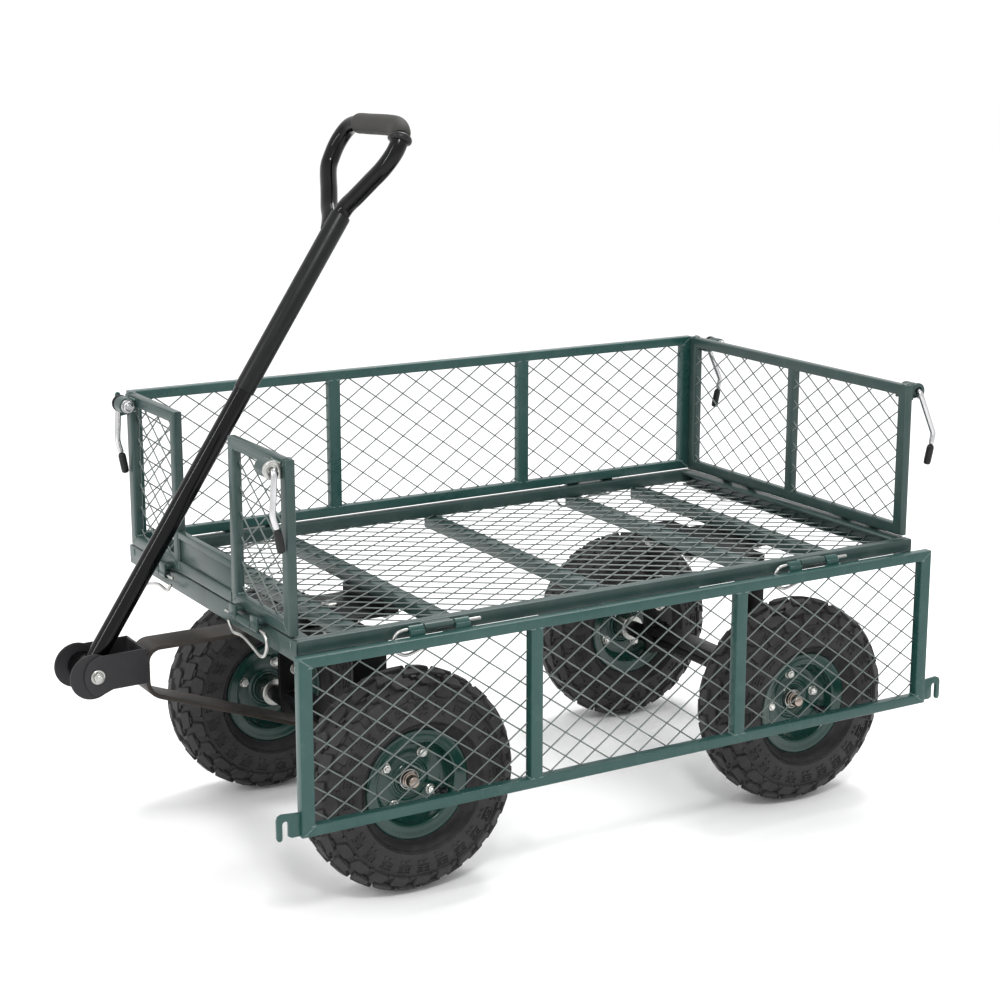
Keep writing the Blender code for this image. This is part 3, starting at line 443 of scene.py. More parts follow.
# -------------------- hinges
GAP = 0.0003
KNUCKLE = 0.0042
BORE = 0.0024
PIN_REACH = 0.054
MIDDLE_SPAN = (-0.018, 0.018)
OUTER_SPANS = ((0.0195, 0.0375), (-0.0375, -0.0195))


def barrel(shape, start, along, length):
    """One rolled hinge knuckle: a short thick tube with eased ends."""
    start, along = Vector(start), Vector(along).normalized()
    first, second = across_of(along)
    ease = 0.0004
    profile = [(BORE, 0.0), (KNUCKLE - ease, 0.0), (KNUCKLE, ease), (KNUCKLE, length - ease),
               (KNUCKLE - ease, length), (BORE, length)]
    rings = []
    for n in range(24):
        angle = 2 * pi * n / 24
        spoke = cos(angle) * first + sin(angle) * second
        rings.append([start + reach * along + radius * spoke for radius, reach in profile])
    skin(shape, rings, wrap=True)


def hinge_pin(name, place, along, inward):
    """A hairpin of zinc wire: one leg through the knuckles, the other bent away below as a clip."""
    legs = (
        (-PIN_REACH, 0.0, 0.0), (-0.02, 0.0, 0.0), (0.02, 0.0, 0.0), (0.044, 0.0, 0.0),
        (0.0525, 0.0, -0.0035), (0.0555, 0.3, -0.012), (0.050, 0.8, -0.024), (0.038, 1.0, -0.029),
        (0.018, 1.0, -0.024), (-0.008, 1.0, -0.0185), (-0.034, 1.0, -0.0195), (-0.047, 1.0, -0.0095),
    )
    line = [place + e * along + Vector((0, 0, z)) + w * inward for e, w, z in legs]
    shape = bmesh.new()
    rod(shape, smooth_line(line, 5), 0.00192, 12, domed=0.8)
    make(name.replace("hinge_pin", "wire_pin"), shape, "zinc", name)


def side_pin(hand, place):
    """How far forward the middle of a side panel's hinge is."""
    return limits(f"hinge_pin_{hand}_{place}")[0].x + PIN_REACH


def gate_pin(label, hand):
    """How far across the middle of a gate's hinge is."""
    low, high = limits(f"hinge_pin_{label}_{hand}")
    return low.y + PIN_REACH if hand == "left" else high.y - PIN_REACH


# -------------------- wire mesh
WIRE_PITCH = (0.0404, 0.0286)
WIRE = 0.00085


def wires(shape, at, low, high, node):
    """Two families of straight crossed wires that fill a rectangle; node is one crossing."""
    pitch_a, pitch_b = WIRE_PITCH
    slope = pitch_b / pitch_a
    for family in (1, -1):
        rise = family * slope
        base = node[1] - rise * node[0]
        starts = [b - rise * a for a in (low[0], high[0]) for b in (low[1], high[1])]
        first = int((min(starts) - base) // pitch_b)
        last = int((max(starts) - base) // pitch_b) + 1
        for k in range(first, last + 1):
            shift = base + k * pitch_b
            marks = []
            for a in (low[0], high[0]):
                b = rise * a + shift
                if low[1] <= b <= high[1]:
                    marks.append((a, b))
            for b in (low[1], high[1]):
                a = (b - shift) / rise
                if low[0] < a < high[0]:
                    marks.append((a, b))
            if len(marks) < 2:
                continue
            marks.sort()
            (a0, b0), (a1, b1) = marks[0], marks[-1]
            if abs(a1 - a0) < 0.002:
                continue
            offset = family * WIRE * 0.85
            bow = 0.00035 * sin(7.0 * k + family)
            line = [at(a0, b0, offset), at((a0 + a1) / 2, (b0 + b1) / 2, offset + bow), at(a1, b1, offset)]
            rod(shape, line, WIRE, 8)


def leaf(shape, at, level, edges, holes, heights, rail, through, radius):
    """A panel's outer frame: edges and holes are its limits across, heights its limits upward."""
    (near, far), (first, last), (left, right) = heights, edges, holes
    outside = [at(a, level, u) for a, u in ((first, near), (first, far), (last, far), (last, near))]
    near, far = near + rail, far - rail
    inside = [at(a, level, u) for a, u in ((left, near), (left, far), (right, far), (right, near))]
    loop(shape, outside, inside, through, radius)


# -------------------- side panels
def side_panel(label):
    hinge = pivot("side_left_raise" if label == "left" else "side_right_fold")
    up = -1 if label == "left" else 1
    node = f"side_frame_{label}"
    bays = [limits(f"side_mesh_{label}_{place}") for place in ("front", "middle", "rear")]
    rail, post = 0.012, 0.0155
    inner, outer = 0.005, 0.0181
    half = bays[0][1].x + GAP + post
    heights = sorted(up * (corner.z - hinge.z) for corner in bays[0])
    near, far = heights[0] - GAP - rail, heights[1] + GAP + rail
    reach = limits(node)[1].x - half

    def at(x, w, u):
        return Vector((x, hinge.y + w, hinge.z + up * u))

    shape = bmesh.new()
    hole = half - post
    leaf(shape, at, inner, (half, -half), (hole, -hole), (near, far), rail, (0, outer - inner, 0), 0.0016)
    posts = [(bays[0][0].x + bays[1][1].x) / 2, (bays[1][0].x + bays[2][1].x) / 2]
    centre = (inner + outer) / 2
    for x in posts:
        low, high = at(x, centre, near + rail - 0.001), at(x, centre, far - rail + 0.001)
        bar(shape, low, high, (1, 0, 0), post, 0.0134)
    for end in (1, -1):
        tip = half + reach
        out = tip - 0.0065
        root = out - 0.007
        start = half - 0.003
        shoulder = max(start + 0.0005, root - 0.004)
        outline = [
            (start, far - 0.028), (tip - 0.006, far - 0.030), (tip - 0.0015, far - 0.028), (tip, far - 0.024),
            (tip, far - 0.004), (tip - 0.001, far - 0.001), (out + 0.003, far), (out + 0.0008, far - 0.001),
            (out, far - 0.004), (out, far - 0.019), (out - 0.001, far - 0.0212), (out - 0.0035, far - 0.022),
            (root + 0.001, far - 0.0212), (root, far - 0.019), (root, far - 0.004), (shoulder, far - 0.002),
            (start, far - 0.002),
        ]
        plate(shape, [at(end * x, 0.010, u) for x, u in outline], (0, 0.004, 0), 0.0005)
    for place in ("front", "rear"):
        x = side_pin(label, place)
        for low, high in OUTER_SPANS:
            barrel(shape, (x + low, hinge.y, hinge.z), (1, 0, 0), high - low)
            block(shape, at(x + low, 0.0032, 0.0), at(x + high, 0.0066, near + 0.002), 0.0005)
        inward = Vector((0, up * 0.002, 0))
        hinge_pin(f"hinge_pin_{label}_{place}", Vector((x, hinge.y, hinge.z)), Vector((1, 0, 0)), inward)
    make(f"panel_{label}", shape, "green_paint", node)

    welds = bmesh.new()
    joints = [(hole, 1), (-hole, -1)]
    skim = outer - 0.0003
    for x in posts:
        joints += [(x + post / 2, -1), (x - post / 2, 1)]
    for x, lean in joints:
        for u, rise in ((near + rail, 1), (far - rail, -1)):
            bead(welds, at(x, inner + 0.001, u), at(x, outer - 0.001, u), 0.0017)
            level = u - rise * 0.0004
            bead(welds, at(x - lean * 0.001, skim, level), at(x + lean * 0.005, skim, level), 0.0011)
    for x, lean in joints[:2]:
        for u, rise in ((near, 1), (far, -1)):
            bead(welds, at(x + lean * (post - 0.001), skim, u + rise * 0.001),
                 at(x + lean * 0.001, skim, u + rise * (rail - 0.001)), 0.0009)
    make(f"panel_welds_{label}", welds, "weld", body=f"side_{label}")

    phases = {"front": bays[0][1].x - 0.0193, "middle": -0.0025, "rear": bays[2][0].x + 0.0193}
    for place, (low, high) in zip(("front", "middle", "rear"), bays):
        netting = bmesh.new()

        def on_sheet(a, b, step):
            return at(a, inner + 0.0022 + step, b)

        wires(netting, on_sheet, (low.x - 0.001, near + rail - 0.0015), (high.x + 0.001, far - rail + 0.0015),
              (phases[place], far - rail - 0.0003))
        make(f"wires_{label}_{place}", netting, "green_mesh", f"side_mesh_{label}_{place}")


# -------------------- gates
def gate(label):
    end = 1 if label == "front" else -1
    hinge = pivot(f"gate_{label}_fold")
    sheets = [limits(f"gate_mesh_{label}_{hand}") for hand in ("left", "right")]
    rail, outer_post, inner_post = 0.014, 0.016, 0.014
    face, back = 0.0075, 0.0190
    half = sheets[0][1].y + GAP + outer_post
    near, far = sheets[0][0].z - GAP - rail - hinge.z, sheets[0][1].z + GAP + rail - hinge.z
    inner = sheets[0][0].y - GAP

    def at(y, w, u):
        return Vector((hinge.x - end * w, y, hinge.z + u))

    hole = half - outer_post
    centre = (face + back) / 2
    through = Vector((-end * (back - face), 0, 0))
    shape = bmesh.new()
    welds = bmesh.new()
    if label == "front":
        for side in (1, -1):
            edges, holes = (side * (inner - inner_post), side * half), (side * inner, side * hole)
            leaf(shape, at, face, edges, holes, (near, far), rail, through, 0.0027)
        reach = inner - inner_post
        ends = [at(side * (reach - 0.0002), centre, near + rail / 2) for side in (-1, 1)]
        bar(shape, *ends, (0, 0, 1), rail, back - face, 0.0022)
        sill, wide, foot = 0.0555, reach + 0.0005, near + rail - 0.001
        block(shape, at(-wide, face + 0.003, foot), at(wide, face + 0.006, sill - 0.003), 0.0004)
        block(shape, at(-wide, face + 0.0005, sill - 0.0085), at(wide, back - 0.0022, sill), 0.0012, 3)
        for y in (reach - 0.0012, -reach + 0.0012):
            block(shape, at(y - 0.0012, face + 0.001, foot),
                  at(y + 0.0012, back - 0.004, sill - 0.007), 0.0004)
            bead(welds, at(y, face + 0.0002, near + 0.002), at(y, face + 0.0002, foot), 0.0008)
        uprights = ((inner, 1), (hole, -1))
    else:
        leaf(shape, at, face, (-half, half), (-hole, hole), (near, far), rail, through, 0.0027)
        ends = at(0, centre, near + rail - 0.001), at(0, centre, far - rail + 0.001)
        bar(shape, *ends, (0, 1, 0), inner_post, back - face - 0.0006, 0.0022)
        uprights = ((hole, -1), (inner_post / 2, 1))
    corners = [
        (side * y, side * lean, u, rise) for side in (1, -1) for y, lean in uprights
        for u, rise in ((near + rail, 1), (far - rail, -1))
    ]
    for y, lean, u, rise in corners:
        bead(welds, at(y, face + 0.002, u), at(y, back - 0.002, u), 0.0015)
        bead(welds, at(y, face + 0.0002, u), at(y - lean * 0.010, face + 0.0002, u - rise * 0.010), 0.0007)
    for side, hand in ((1, "left"), (-1, "right")):
        latch = pivot(f"latch_{label}_{hand}_turn")
        post = half - outer_post / 2
        disc(shape, at(side * post, centre, far - 0.0012), (0, 0, 1),
             [(0.0, 0.0054), (0.0014, 0.0052), (0.0022, 0.0042), (0.0026, 0.0022)], 24)
        low, high = 0.1942, 0.2144
        disc(shape, (latch.x, side * low, latch.z), (0, side, 0),
             [(0.0, 0.0088), (0.0010, 0.0098), (high - low - 0.0010, 0.0098), (high - low, 0.0088)], 40)
        block(shape, (hinge.x - end * (face + 0.0006), side * (low + 0.002), latch.z - 0.0062),
              (latch.x, side * (high - 0.001), latch.z + 0.0062), 0.0008)
        seam = hinge.x - end * (face - 0.0008)
        for rise in (-0.0070, 0.0066):
            level = latch.z + rise
            bead(welds, (seam, side * (low + 0.001), level), (seam, side * (high - 0.001), level), 0.0017)
        for rise in (-0.0068, 0.0064):
            bead(welds, (seam, side * (high + 0.0012), latch.z + rise),
                 (seam + end * 0.004, side * (high - 0.0004), latch.z + rise * 1.2), 0.0016)
        y = gate_pin(label, hand)
        for low, high in OUTER_SPANS:
            barrel(shape, (hinge.x, y + low, hinge.z), (0, 1, 0), high - low)
            block(shape, at(y + low, -0.0034, 0.0025), at(y + high, -0.0006, 0.0135), 0.0005)
            block(shape, at(y + low, -0.0020, 0.0072), at(y + high, face + 0.001, 0.0112), 0.0005)
        hinge_pin(f"hinge_pin_{label}_{hand}", Vector((hinge.x, y, hinge.z)), Vector((0, side, 0)), Vector())
    # The gate takes the greyer, darker copy of the green paint: painted shade
    make(f"gate_{label}_tubes", shape, "green_dull", f"gate_frame_{label}")
    make(f"gate_{label}_welds", welds, "weld", body=f"gate_{label}")
    for hand, (low, high) in zip(("left", "right"), sheets):
        netting = bmesh.new()

        def on_sheet(a, b, step):
            return at(a, back - 0.0022 + step, b)

        wires(netting, on_sheet, (low.y - 0.001, near + rail - 0.0015), (high.y + 0.001, far - rail + 0.0015),
              ((low.y + high.y) / 2 + 0.006, far - rail - 0.004))
        make(f"wires_{label}_{hand}", netting, "green_mesh", f"gate_mesh_{label}_{hand}")


# -------------------- latches
# Catch colours: front left zinc, rear left the darker copy of the green paint; the right-hand catches stand in
# shadow and are given black paint as painted shade
CATCH_LOOK = {("front", "left"): "zinc", ("rear", "left"): "green_dull"}


def latch(label, hand):
    end = 1 if label == "front" else -1
    side = 1 if hand == "left" else -1
    place = pivot(f"latch_{label}_{hand}_turn")

    def at(x, y, z):
        return Vector((place.x + end * x, place.y + side * y, place.z + z))

    shape = bmesh.new()
    if label == "front":
        reach = [at(0.0006, 0, -0.010), at(0.0020, 0, -0.030), at(0.0029, 0, -0.042),
                 at(0.0024, 0.0002, -0.050), at(-0.0014, 0.0005, -0.063)]
        top, tip = at(-0.0014, 0.0005, -0.0628), at(-0.0060, 0.0005, -0.0885)
    else:
        reach = [at(0.0030, 0, -0.010), at(0.0125, 0, -0.031), at(0.0208, 0, -0.049),
                 at(0.0230, 0.0002, -0.0560), at(0.0205, 0.0005, -0.0690)]
        top, tip = at(0.0205, 0.0005, -0.0688), at(0.0146, 0.0005, -0.0942)
    line = [at(0, y, 0) for y in (-0.0370, -0.026, -0.012)]
    line += [at(0, -0.0045, -0.0003), at(0.0001, -0.0008, -0.003)]
    rod(shape, smooth_line(line + reach, 5), 0.0036, 20, domed=0.8)
    gap, mouth = radians(40), radians(-118)
    ring = [mouth + gap + (2 * pi - 2 * gap) * n / 26 for n in range(27)]
    outline = [at(0.0104 * cos(a), -0.0088, 0.0104 * sin(a)) for a in ring]
    outline += [at(0.0058 * cos(a), -0.0088, 0.0058 * sin(a)) for a in reversed(ring)]
    catch = bmesh.new()
    plate(catch, outline, (0, side * 0.0046, 0), 0.0010, 3)
    washer = [(0.0, 0.0058), (0.0004, 0.0062), (0.0014, 0.0062), (0.0018, 0.0058)]
    disc(catch, at(0, -0.0088, 0), (0, side, 0), washer, 28)
    block(catch, at(-0.0104, -0.0094, -0.0105), at(-0.0072, -0.0050, 0.0080), 0.0006)
    # Black paint here is painted shade for the catches that stand in shadow
    look = CATCH_LOOK.get((label, hand), "black_paint")
    make(f"catch_{label}_{hand}", catch, look, body=f"latch_{label}_{hand}")
    hexagon(shape, at(0, -0.0308, 0), (0, -side, 0), 0.0068, 0.0040, washer=0.0084, thread=0.0036)
    make(f"lever_{label}_{hand}", shape, "chrome", f"latch_lever_{label}_{hand}")
    grip = bmesh.new()
    steps = [top.lerp(tip, n / 8) for n in range(9)]
    rod(grip, steps, [0.0042, 0.0046, *[0.0047] * 6, 0.0045], 24, domed=0.7)
    make(f"lever_grip_{label}_{hand}", grip, "vinyl", f"latch_grip_{label}_{hand}")


# -------------------- bed
RAIL_TOP = 0.3285
CROSS_TUBES = (-0.335, -0.225, 0.0, 0.215, 0.325)


def bed():
    deck = limits("deck_mesh")
    bottom = deck[0].z - GAP
    half_y = deck[1].y + 0.0005 + 0.014
    half_x = deck[1].x + 0.0005 + 0.003
    apron = limits("bed_frame")[0].z + 0.0085
    shape = bmesh.new()
    for side in (1, -1):
        y = side * (half_y - 0.007)
        ends = [(x, y, (bottom + RAIL_TOP) / 2) for x in (-half_x + 0.0002, half_x - 0.0002)]
        bar(shape, *ends, (0, 1, 0), 0.014, RAIL_TOP - bottom, 0.0018)
    for end in (1, -1):
        x = end * half_x
        block(shape, (x - end * 0.003, -half_y, apron), (x, half_y, RAIL_TOP), 0.0011, 3)
        block(shape, (x - end * 0.022, -half_y + 0.0145, RAIL_TOP - 0.0032),
              (x - end * 0.001, half_y - 0.0145, RAIL_TOP - 0.0002), 0.0008)
        block(shape, (x - end * 0.0035, -half_y + 0.001, apron + 0.0001),
              (x - end * 0.010, half_y - 0.001, apron + 0.0026), 0.0008)
    for x in CROSS_TUBES:
        ends = [(x, y, bottom - 0.008) for y in (-half_y + 0.003, half_y - 0.003)]
        bar(shape, *ends, (1, 0, 0), 0.020, 0.0158, 0.002)
    start, stop = MIDDLE_SPAN
    for side, hand in ((1, "left"), (-1, "right")):
        hinge = pivot("side_left_raise" if side > 0 else "side_right_fold")
        for place in ("front", "rear"):
            x = side_pin(hand, place)
            barrel(shape, (x + start, hinge.y, hinge.z), (1, 0, 0), stop - start)
            block(shape, (x + start, hinge.y - side * 0.0028, hinge.z - 0.003),
                  (x + stop, hinge.y - side * 0.010, hinge.z + 0.0032), 0.0005)
    for label, end in (("front", 1), ("rear", -1)):
        hinge = pivot(f"gate_{label}_fold")
        for hand in ("left", "right"):
            y = gate_pin(label, hand)
            barrel(shape, (hinge.x, y + start, hinge.z), (0, 1, 0), stop - start)
            block(shape, (hinge.x - end * 0.0026, y + start, hinge.z - 0.003),
                  (hinge.x - end * 0.0102, y + stop, hinge.z + 0.003), 0.0005)
    # The bed also takes the greyer, darker copy of the green paint: painted shade
    make("bed_tubes", shape, "green_dull", "bed_frame")
    welds = bmesh.new()
    for end in (1, -1):
        for side in (1, -1):
            x, y = end * (half_x + 0.0001), side * (half_y - 0.014)
            bead(welds, (x, y, apron + 0.012), (x, y, RAIL_TOP - 0.002), 0.0008)
    make("bed_welds", welds, "weld", body="bed")
    netting = bmesh.new()
    sheet = (deck[0].z + deck[1].z) / 2 + 0.0006

    def on_deck(a, b, step):
        return Vector((a, b, sheet + step))

    low, high = deck
    wires(netting, on_deck, (low.x - 0.001, low.y - 0.001), (high.x + 0.001, high.y + 0.001), (0.0, 0.0))
    make("wires_deck", netting, "green_mesh", "deck_mesh")


# -------------------- wheels
SECTION_RADIUS = 0.078
SECTION_HEIGHT = 0.0475
HALF_WIDTH = 0.0405
FLANGE = 0.065
BEAD_WIDTH = 0.0228
BOLT_PHASE = {"front_left": 32, "rear_left": -8, "front_right": 20, "rear_right": 55}
LUG_COUNT = 24
# Tread lugs, then low marks on the wall: angle over the section and half size, angle round the wheel and
# half size, all in degrees, then height, skew and corner
LUGS = (
    (38, 9.0, 0.0, 5.0, 0.0036, 0.5, 0.35), (29.5, 2.0, 7.5, 1.7, 0.0026, 0.0, 0.35),
    (60, 8.5, 7.0, 5.2, 0.0042, -0.8, 0.35), (50.5, 2.2, 7.3, 2.2, 0.0028, 0.3, 0.35),
    (81, 7.0, 1.0, 4.6, 0.0044, 0.9, 0.35), (70.5, 2.4, 0.3, 1.6, 0.0028, 0.0, 0.35),
)
LUGS += tuple((*mark, 0.0014, 0.0, 0.5) for mark in (
    (12.0, 0.55, 0.0, 4.6), (21.5, 0.55, 0.0, 4.6), (16.7, 4.4, -4.2, 0.55), (16.7, 0.55, -2.2, 1.6),
    (16.7, 2.0, 1.2, 0.5), (18.8, 0.5, 2.6, 1.5), (14.6, 0.5, 2.6, 1.5), (6.6, 1.5, 3.4, 1.4),
    (6.6, 1.5, -1.2, 1.4),
))


def squared(value):
    """Pushes a sine or cosine outward, which turns a round section into a rounded square."""
    return abs(value) ** 0.77 * (1 if value > 0 else -1)


def carcass(theta, turn_angle, rise):
    """A point on the tyre: theta runs over the section from the outer wall at 0 to the inner wall at pi."""
    radius, along = SECTION_RADIUS + SECTION_HEIGHT * squared(sin(theta)), HALF_WIDTH * squared(cos(theta))
    ahead, behind = theta + 0.02, theta - 0.02
    out = SECTION_HEIGHT * (squared(sin(ahead)) - squared(sin(behind)))
    over = HALF_WIDTH * (squared(cos(ahead)) - squared(cos(behind)))
    length = (out**2 + over**2) ** 0.5
    radius += rise * (-over / length)
    along += rise * (out / length)
    return Vector((radius * cos(turn_angle), along, radius * sin(turn_angle)))


def pad(shape, theta, spread, angle, width, rise, skew, corner):
    """One raised rubber block on the carcass, with tapered walls and rounded corners."""
    outline = rounded(1.0, 1.0, corner, 2)
    rings = []
    for share, height in ((1.10, -0.0006), (1.02, rise * 0.72), (0.93, rise)):
        rings.append([
            carcass(radians(theta + spread * b * share),
                    radians(angle + (width * a + skew * b) * share), height)
            for a, b in outline
        ])
    skin(shape, rings)


def tyre(label, place):
    shape = bmesh.new()
    points = [carcass(pi * n / 40, 0.0, 0.0) for n in range(41)]
    foot = [(0.0715, -0.0345), (0.0685, -0.0290), (FLANGE + 0.0014, -BEAD_WIDTH - 0.0030),
            (FLANGE - 0.001, -BEAD_WIDTH - 0.0012), (0.0565, -BEAD_WIDTH), (0.0565, -BEAD_WIDTH + 0.006)]
    inside = [(0.078, -0.0335), (0.100, -0.0325), (0.117, -0.018), (0.1185, 0.0), (0.117, 0.018),
              (0.100, 0.0325), (0.078, 0.0335)]
    profile = [(p.x, p.y) for p in points] + foot + inside + [(r, -w) for r, w in reversed(foot)]
    turn(shape, profile, (0, 0, 0), 1, 120)
    for radius, wide in ((0.0735, 0.0392), (0.0765, 0.0402)):
        for face in (1, -1):
            low, high = face * (wide - 0.001), face * wide
            turn(shape, [(radius, low), (radius + 0.0006, high), (radius + 0.0012, low)], (0, 0, 0), 1, 120)
    pitch = 360.0 / LUG_COUNT
    for n in range(LUG_COUNT):
        nub = (4.0 * (n % 2) - 2.0, 0.5, 5.0, 0.35, 0.0009, 0.0, 0.9)
        for mirror in (False, True):
            base = n * pitch + pitch / 2 if mirror else n * pitch
            for theta, spread, angle, *form in (*LUGS, nub):
                if mirror:
                    theta, spread = 180 - theta, -spread
                pad(shape, theta, spread, base + angle, *form)
    bmesh.ops.translate(shape, vec=place, verts=shape.verts)
    make(f"tread_{label}", shape, "tyre_rubber", f"tyre_{label}", angle=32)


def rim(label, place, side):
    shape = bmesh.new()
    face = [
        (0.0132, 0.0030), (0.0148, 0.0034), (0.0160, 0.0050), (0.0172, 0.0050), (0.0184, 0.0034),
        (0.0196, 0.0030), (0.0208, 0.0034), (0.0220, 0.0050), (0.0236, 0.0050), (0.0250, 0.0034),
        (0.0270, 0.0030), (0.0395, 0.0030), (0.0415, 0.0040), (0.0440, 0.0072), (0.0460, 0.0098),
        (0.0474, 0.0118), (0.0482, 0.0142), (0.0486, 0.0190), (0.0492, 0.0224), (0.0506, 0.0241),
        (0.0528, 0.0247), (0.0556, 0.0250), (0.0585, 0.0258), (0.0612, 0.0266), (0.0632, 0.0268),
        (0.0646, 0.0262), (0.0651, 0.0250), (0.0642, 0.0242), (0.0620, 0.0243), (0.0560, 0.0236),
        (0.0528, 0.0215),
    ]
    profile = face + [(radius, -along) for radius, along in reversed(face)]
    turn(shape, profile, (0, 0, 0), 1, 128)
    bmesh.ops.translate(shape, vec=place, verts=shape.verts)
    make(f"dish_{label}", shape, "green_rim", f"rim_{label}", angle=50)
    bolts = bmesh.new()
    for n in range(4):
        angle = radians(BOLT_PHASE[label] + 90 * n)
        spot = Vector((0.034 * cos(angle), 0, 0.034 * sin(angle)))
        for out in (1, -1):
            seat = place + spot + Vector((0, out * 0.0030, 0))
            hexagon(bolts, seat, (0, out, 0), 0.0056, 0.0046, washer=0.0062, turned=0.4 * n + 0.3,
                    thread=0.0031)
    make(f"rim_bolts_{label}", bolts, "bright_zinc", body=BODY_OF[f"rim_{label}"])
    valve = bmesh.new()
    angle = radians(205)
    spoke = Vector((cos(angle), 0, sin(angle)))
    foot = place + 0.0470 * spoke + Vector((0, side * 0.015, 0))
    tip = place + 0.0280 * spoke + Vector((0, side * 0.0215, 0))
    radii = [0.0048, 0.0042, 0.0034, 0.0031, 0.0031, 0.0040, 0.0040]
    rod(valve, [foot.lerp(tip, n / 6) for n in range(7)], radii, 18, 0.6)
    make(f"valve_{label}", valve, "vinyl", body=BODY_OF[f"rim_{label}"])


def wheel(label, side):
    low, high = limits(f"tyre_{label}")
    place = (low + high) / 2
    tyre(label, place)
    rim(label, place, side)
    hub = bmesh.new()
    bore = 0.0083
    hub_low, hub_high = limits(f"hub_{label}")
    face = hub_high.y - place.y if side > 0 else place.y - hub_low.y
    turn(hub, [
        (bore, -0.030), (0.0160, -0.030), (0.0172, -0.0290), (0.0172, -0.0070), (0.0160, -0.0060),
        (0.0127, -0.0055), (0.0125, face - 0.0014), (0.0119, face - 0.0002), (0.0111, face),
        (0.0105, face - 0.0006), (0.0102, face - 0.0030), (0.0092, face - 0.0032), (bore, face - 0.0030),
    ], place, side, 64)
    make(f"bearing_{label}", hub, "zinc", f"hub_{label}", angle=40)
    nut = bmesh.new()
    start = place + Vector((0, side * (face + 0.0004), 0))
    disc(nut, start, (0, side, 0), [
        (0.0, 0.0089), (0.0004, 0.0094), (0.0014, 0.0094), (0.0018, 0.0086), (0.0020, 0.0078),
        (0.0026, 0.0086), (0.0042, 0.0086), (0.0047, 0.0078),
    ], 40)
    make(f"wheel_nut_{label}", nut, "axle_end", f"axle_nut_{label}")


# -------------------- axles and brackets
AXLE_HEIGHT = 0.130


def carriage(axle_node, bracket_node, x):
    centre = Vector((x, 0, AXLE_HEIGHT))
    leg, hub = 0.1043, 0.1597
    tip = limits(axle_node)[1].y
    shape = bmesh.new()
    inner = [
        (tip - 0.0118, 0.0079), (hub, 0.0080), (hub - 0.0002, 0.0104), (hub - 0.0010, 0.0110),
        (leg + 0.001, 0.0110), (leg, 0.0104), (leg - 0.0002, 0.0080),
    ]
    disc(shape, centre, (0, 1, 0), [(-y, r) for y, r in inner] + [(y, r) for y, r in reversed(inner)], 40)
    make(f"bar_{axle_node}", shape, "black_paint", axle_node)
    ends = bmesh.new()
    stub = [(tip - 0.0120, 0.0072), (tip - 0.0016, 0.0070), (tip - 0.0006, 0.0064), (tip, 0.0052)]
    for side in (1, -1):
        disc(ends, centre, (0, side, 0), stub, 40)
    make(f"tips_{axle_node}", ends, "axle_end", body=BODY_OF[axle_node])
    top = limits(bracket_node)[1].z
    frame_piece = bmesh.new()
    for side in (1, -1):
        edge = [(0.022, top), (0.022, 0.150), (0.018, 0.118), (0.013, 0.1122)]
        outline = [(-a, z) for a, z in edge] + edge[::-1]
        plate(frame_piece, [(x + a, side * 0.098, z) for a, z in outline], (0, side * 0.006, 0), 0.0008)
    block(frame_piece, (x - 0.0218, -0.1038, top - 0.008), (x + 0.0218, 0.1038, top - 0.0002), 0.0010)
    bar(frame_piece, (x, -0.099, 0.145), (x, 0.099, 0.145), (1, 0, 0), 0.030, 0.012, 0.002)
    for side in (1, -1):
        for a in (-0.0215, 0.0215):
            seam = [(x + a * reach, side * 0.0975, top - 0.0085) for reach in (0.9, -0.2)]
            bead(frame_piece, *seam, 0.0022)
        bead(frame_piece, (x - 0.014, side * 0.0975, 0.1515), (x + 0.014, side * 0.0975, 0.1515), 0.0022)
    if bracket_node == "rear_bracket":
        block(frame_piece, (x - 0.065, -0.060, top - 0.005), (x + 0.065, 0.060, top - 0.0001), 0.0008)
    make(f"{bracket_node}_plates", frame_piece, "black_paint", bracket_node)
    bolts = bmesh.new()
    if bracket_node == "rear_bracket":
        for a in (-0.055, 0.055):
            for y in (-0.045, 0.045):
                hexagon(bolts, (x + a, y, top - 0.005), (0, 0, -1), 0.0065, 0.005, washer=0.0085)
    for side in (1, -1):
        for z in (0.1800, 0.2150):
            hexagon(bolts, (x, side * 0.0975, z), (0, -side, 0), 0.0062, 0.0048, washer=0.0080)
    make(f"{bracket_node}_bolts", bolts, "zinc", body=BODY_OF[bracket_node])


def turntable():
    low, high = limits("front_turntable")
    shape = bmesh.new()
    block(shape, (low.x, low.y, low.z), (high.x, high.y, low.z + 0.005), 0.0012, 3)
    for x, inward in ((low.x, 0.020), (high.x, -0.020)):
        block(shape, (x, low.y, low.z + 0.0005), (x + inward, high.y, high.z), 0.0012, 3)
    make("turntable_channel", shape, "black_paint", "front_turntable")
    bolts = bmesh.new()
    for y in (-0.038, 0.038):
        hexagon(bolts, (low.x + 0.010, y, low.z), (0, 0, -1), 0.0060, 0.0044, washer=0.0076)
    make("turntable_bolts", bolts, "zinc", body="bed")
    pin = bmesh.new()
    low, high = limits("kingpin")
    centre = Vector(((low.x + high.x) / 2, 0, low.z))
    disc(pin, centre, (0, 0, 1), [(0.0, 0.0066), (0.0014, 0.0079), (high.z - low.z - 0.0092, 0.0079)], 32)
    hexagon(pin, centre + Vector((0, 0, high.z - low.z - 0.0098)), (0, 0, 1), 0.0112, 0.0070, thread=0.004)
    nut = limits("front_yoke")[1].z - 0.008 - GAP
    hexagon(pin, (centre.x, 0, nut), (0, 0, -1), 0.0112, 0.0090, washer=0.0114, thread=0.0079)
    make("kingpin_bolt", pin, "zinc", "kingpin")


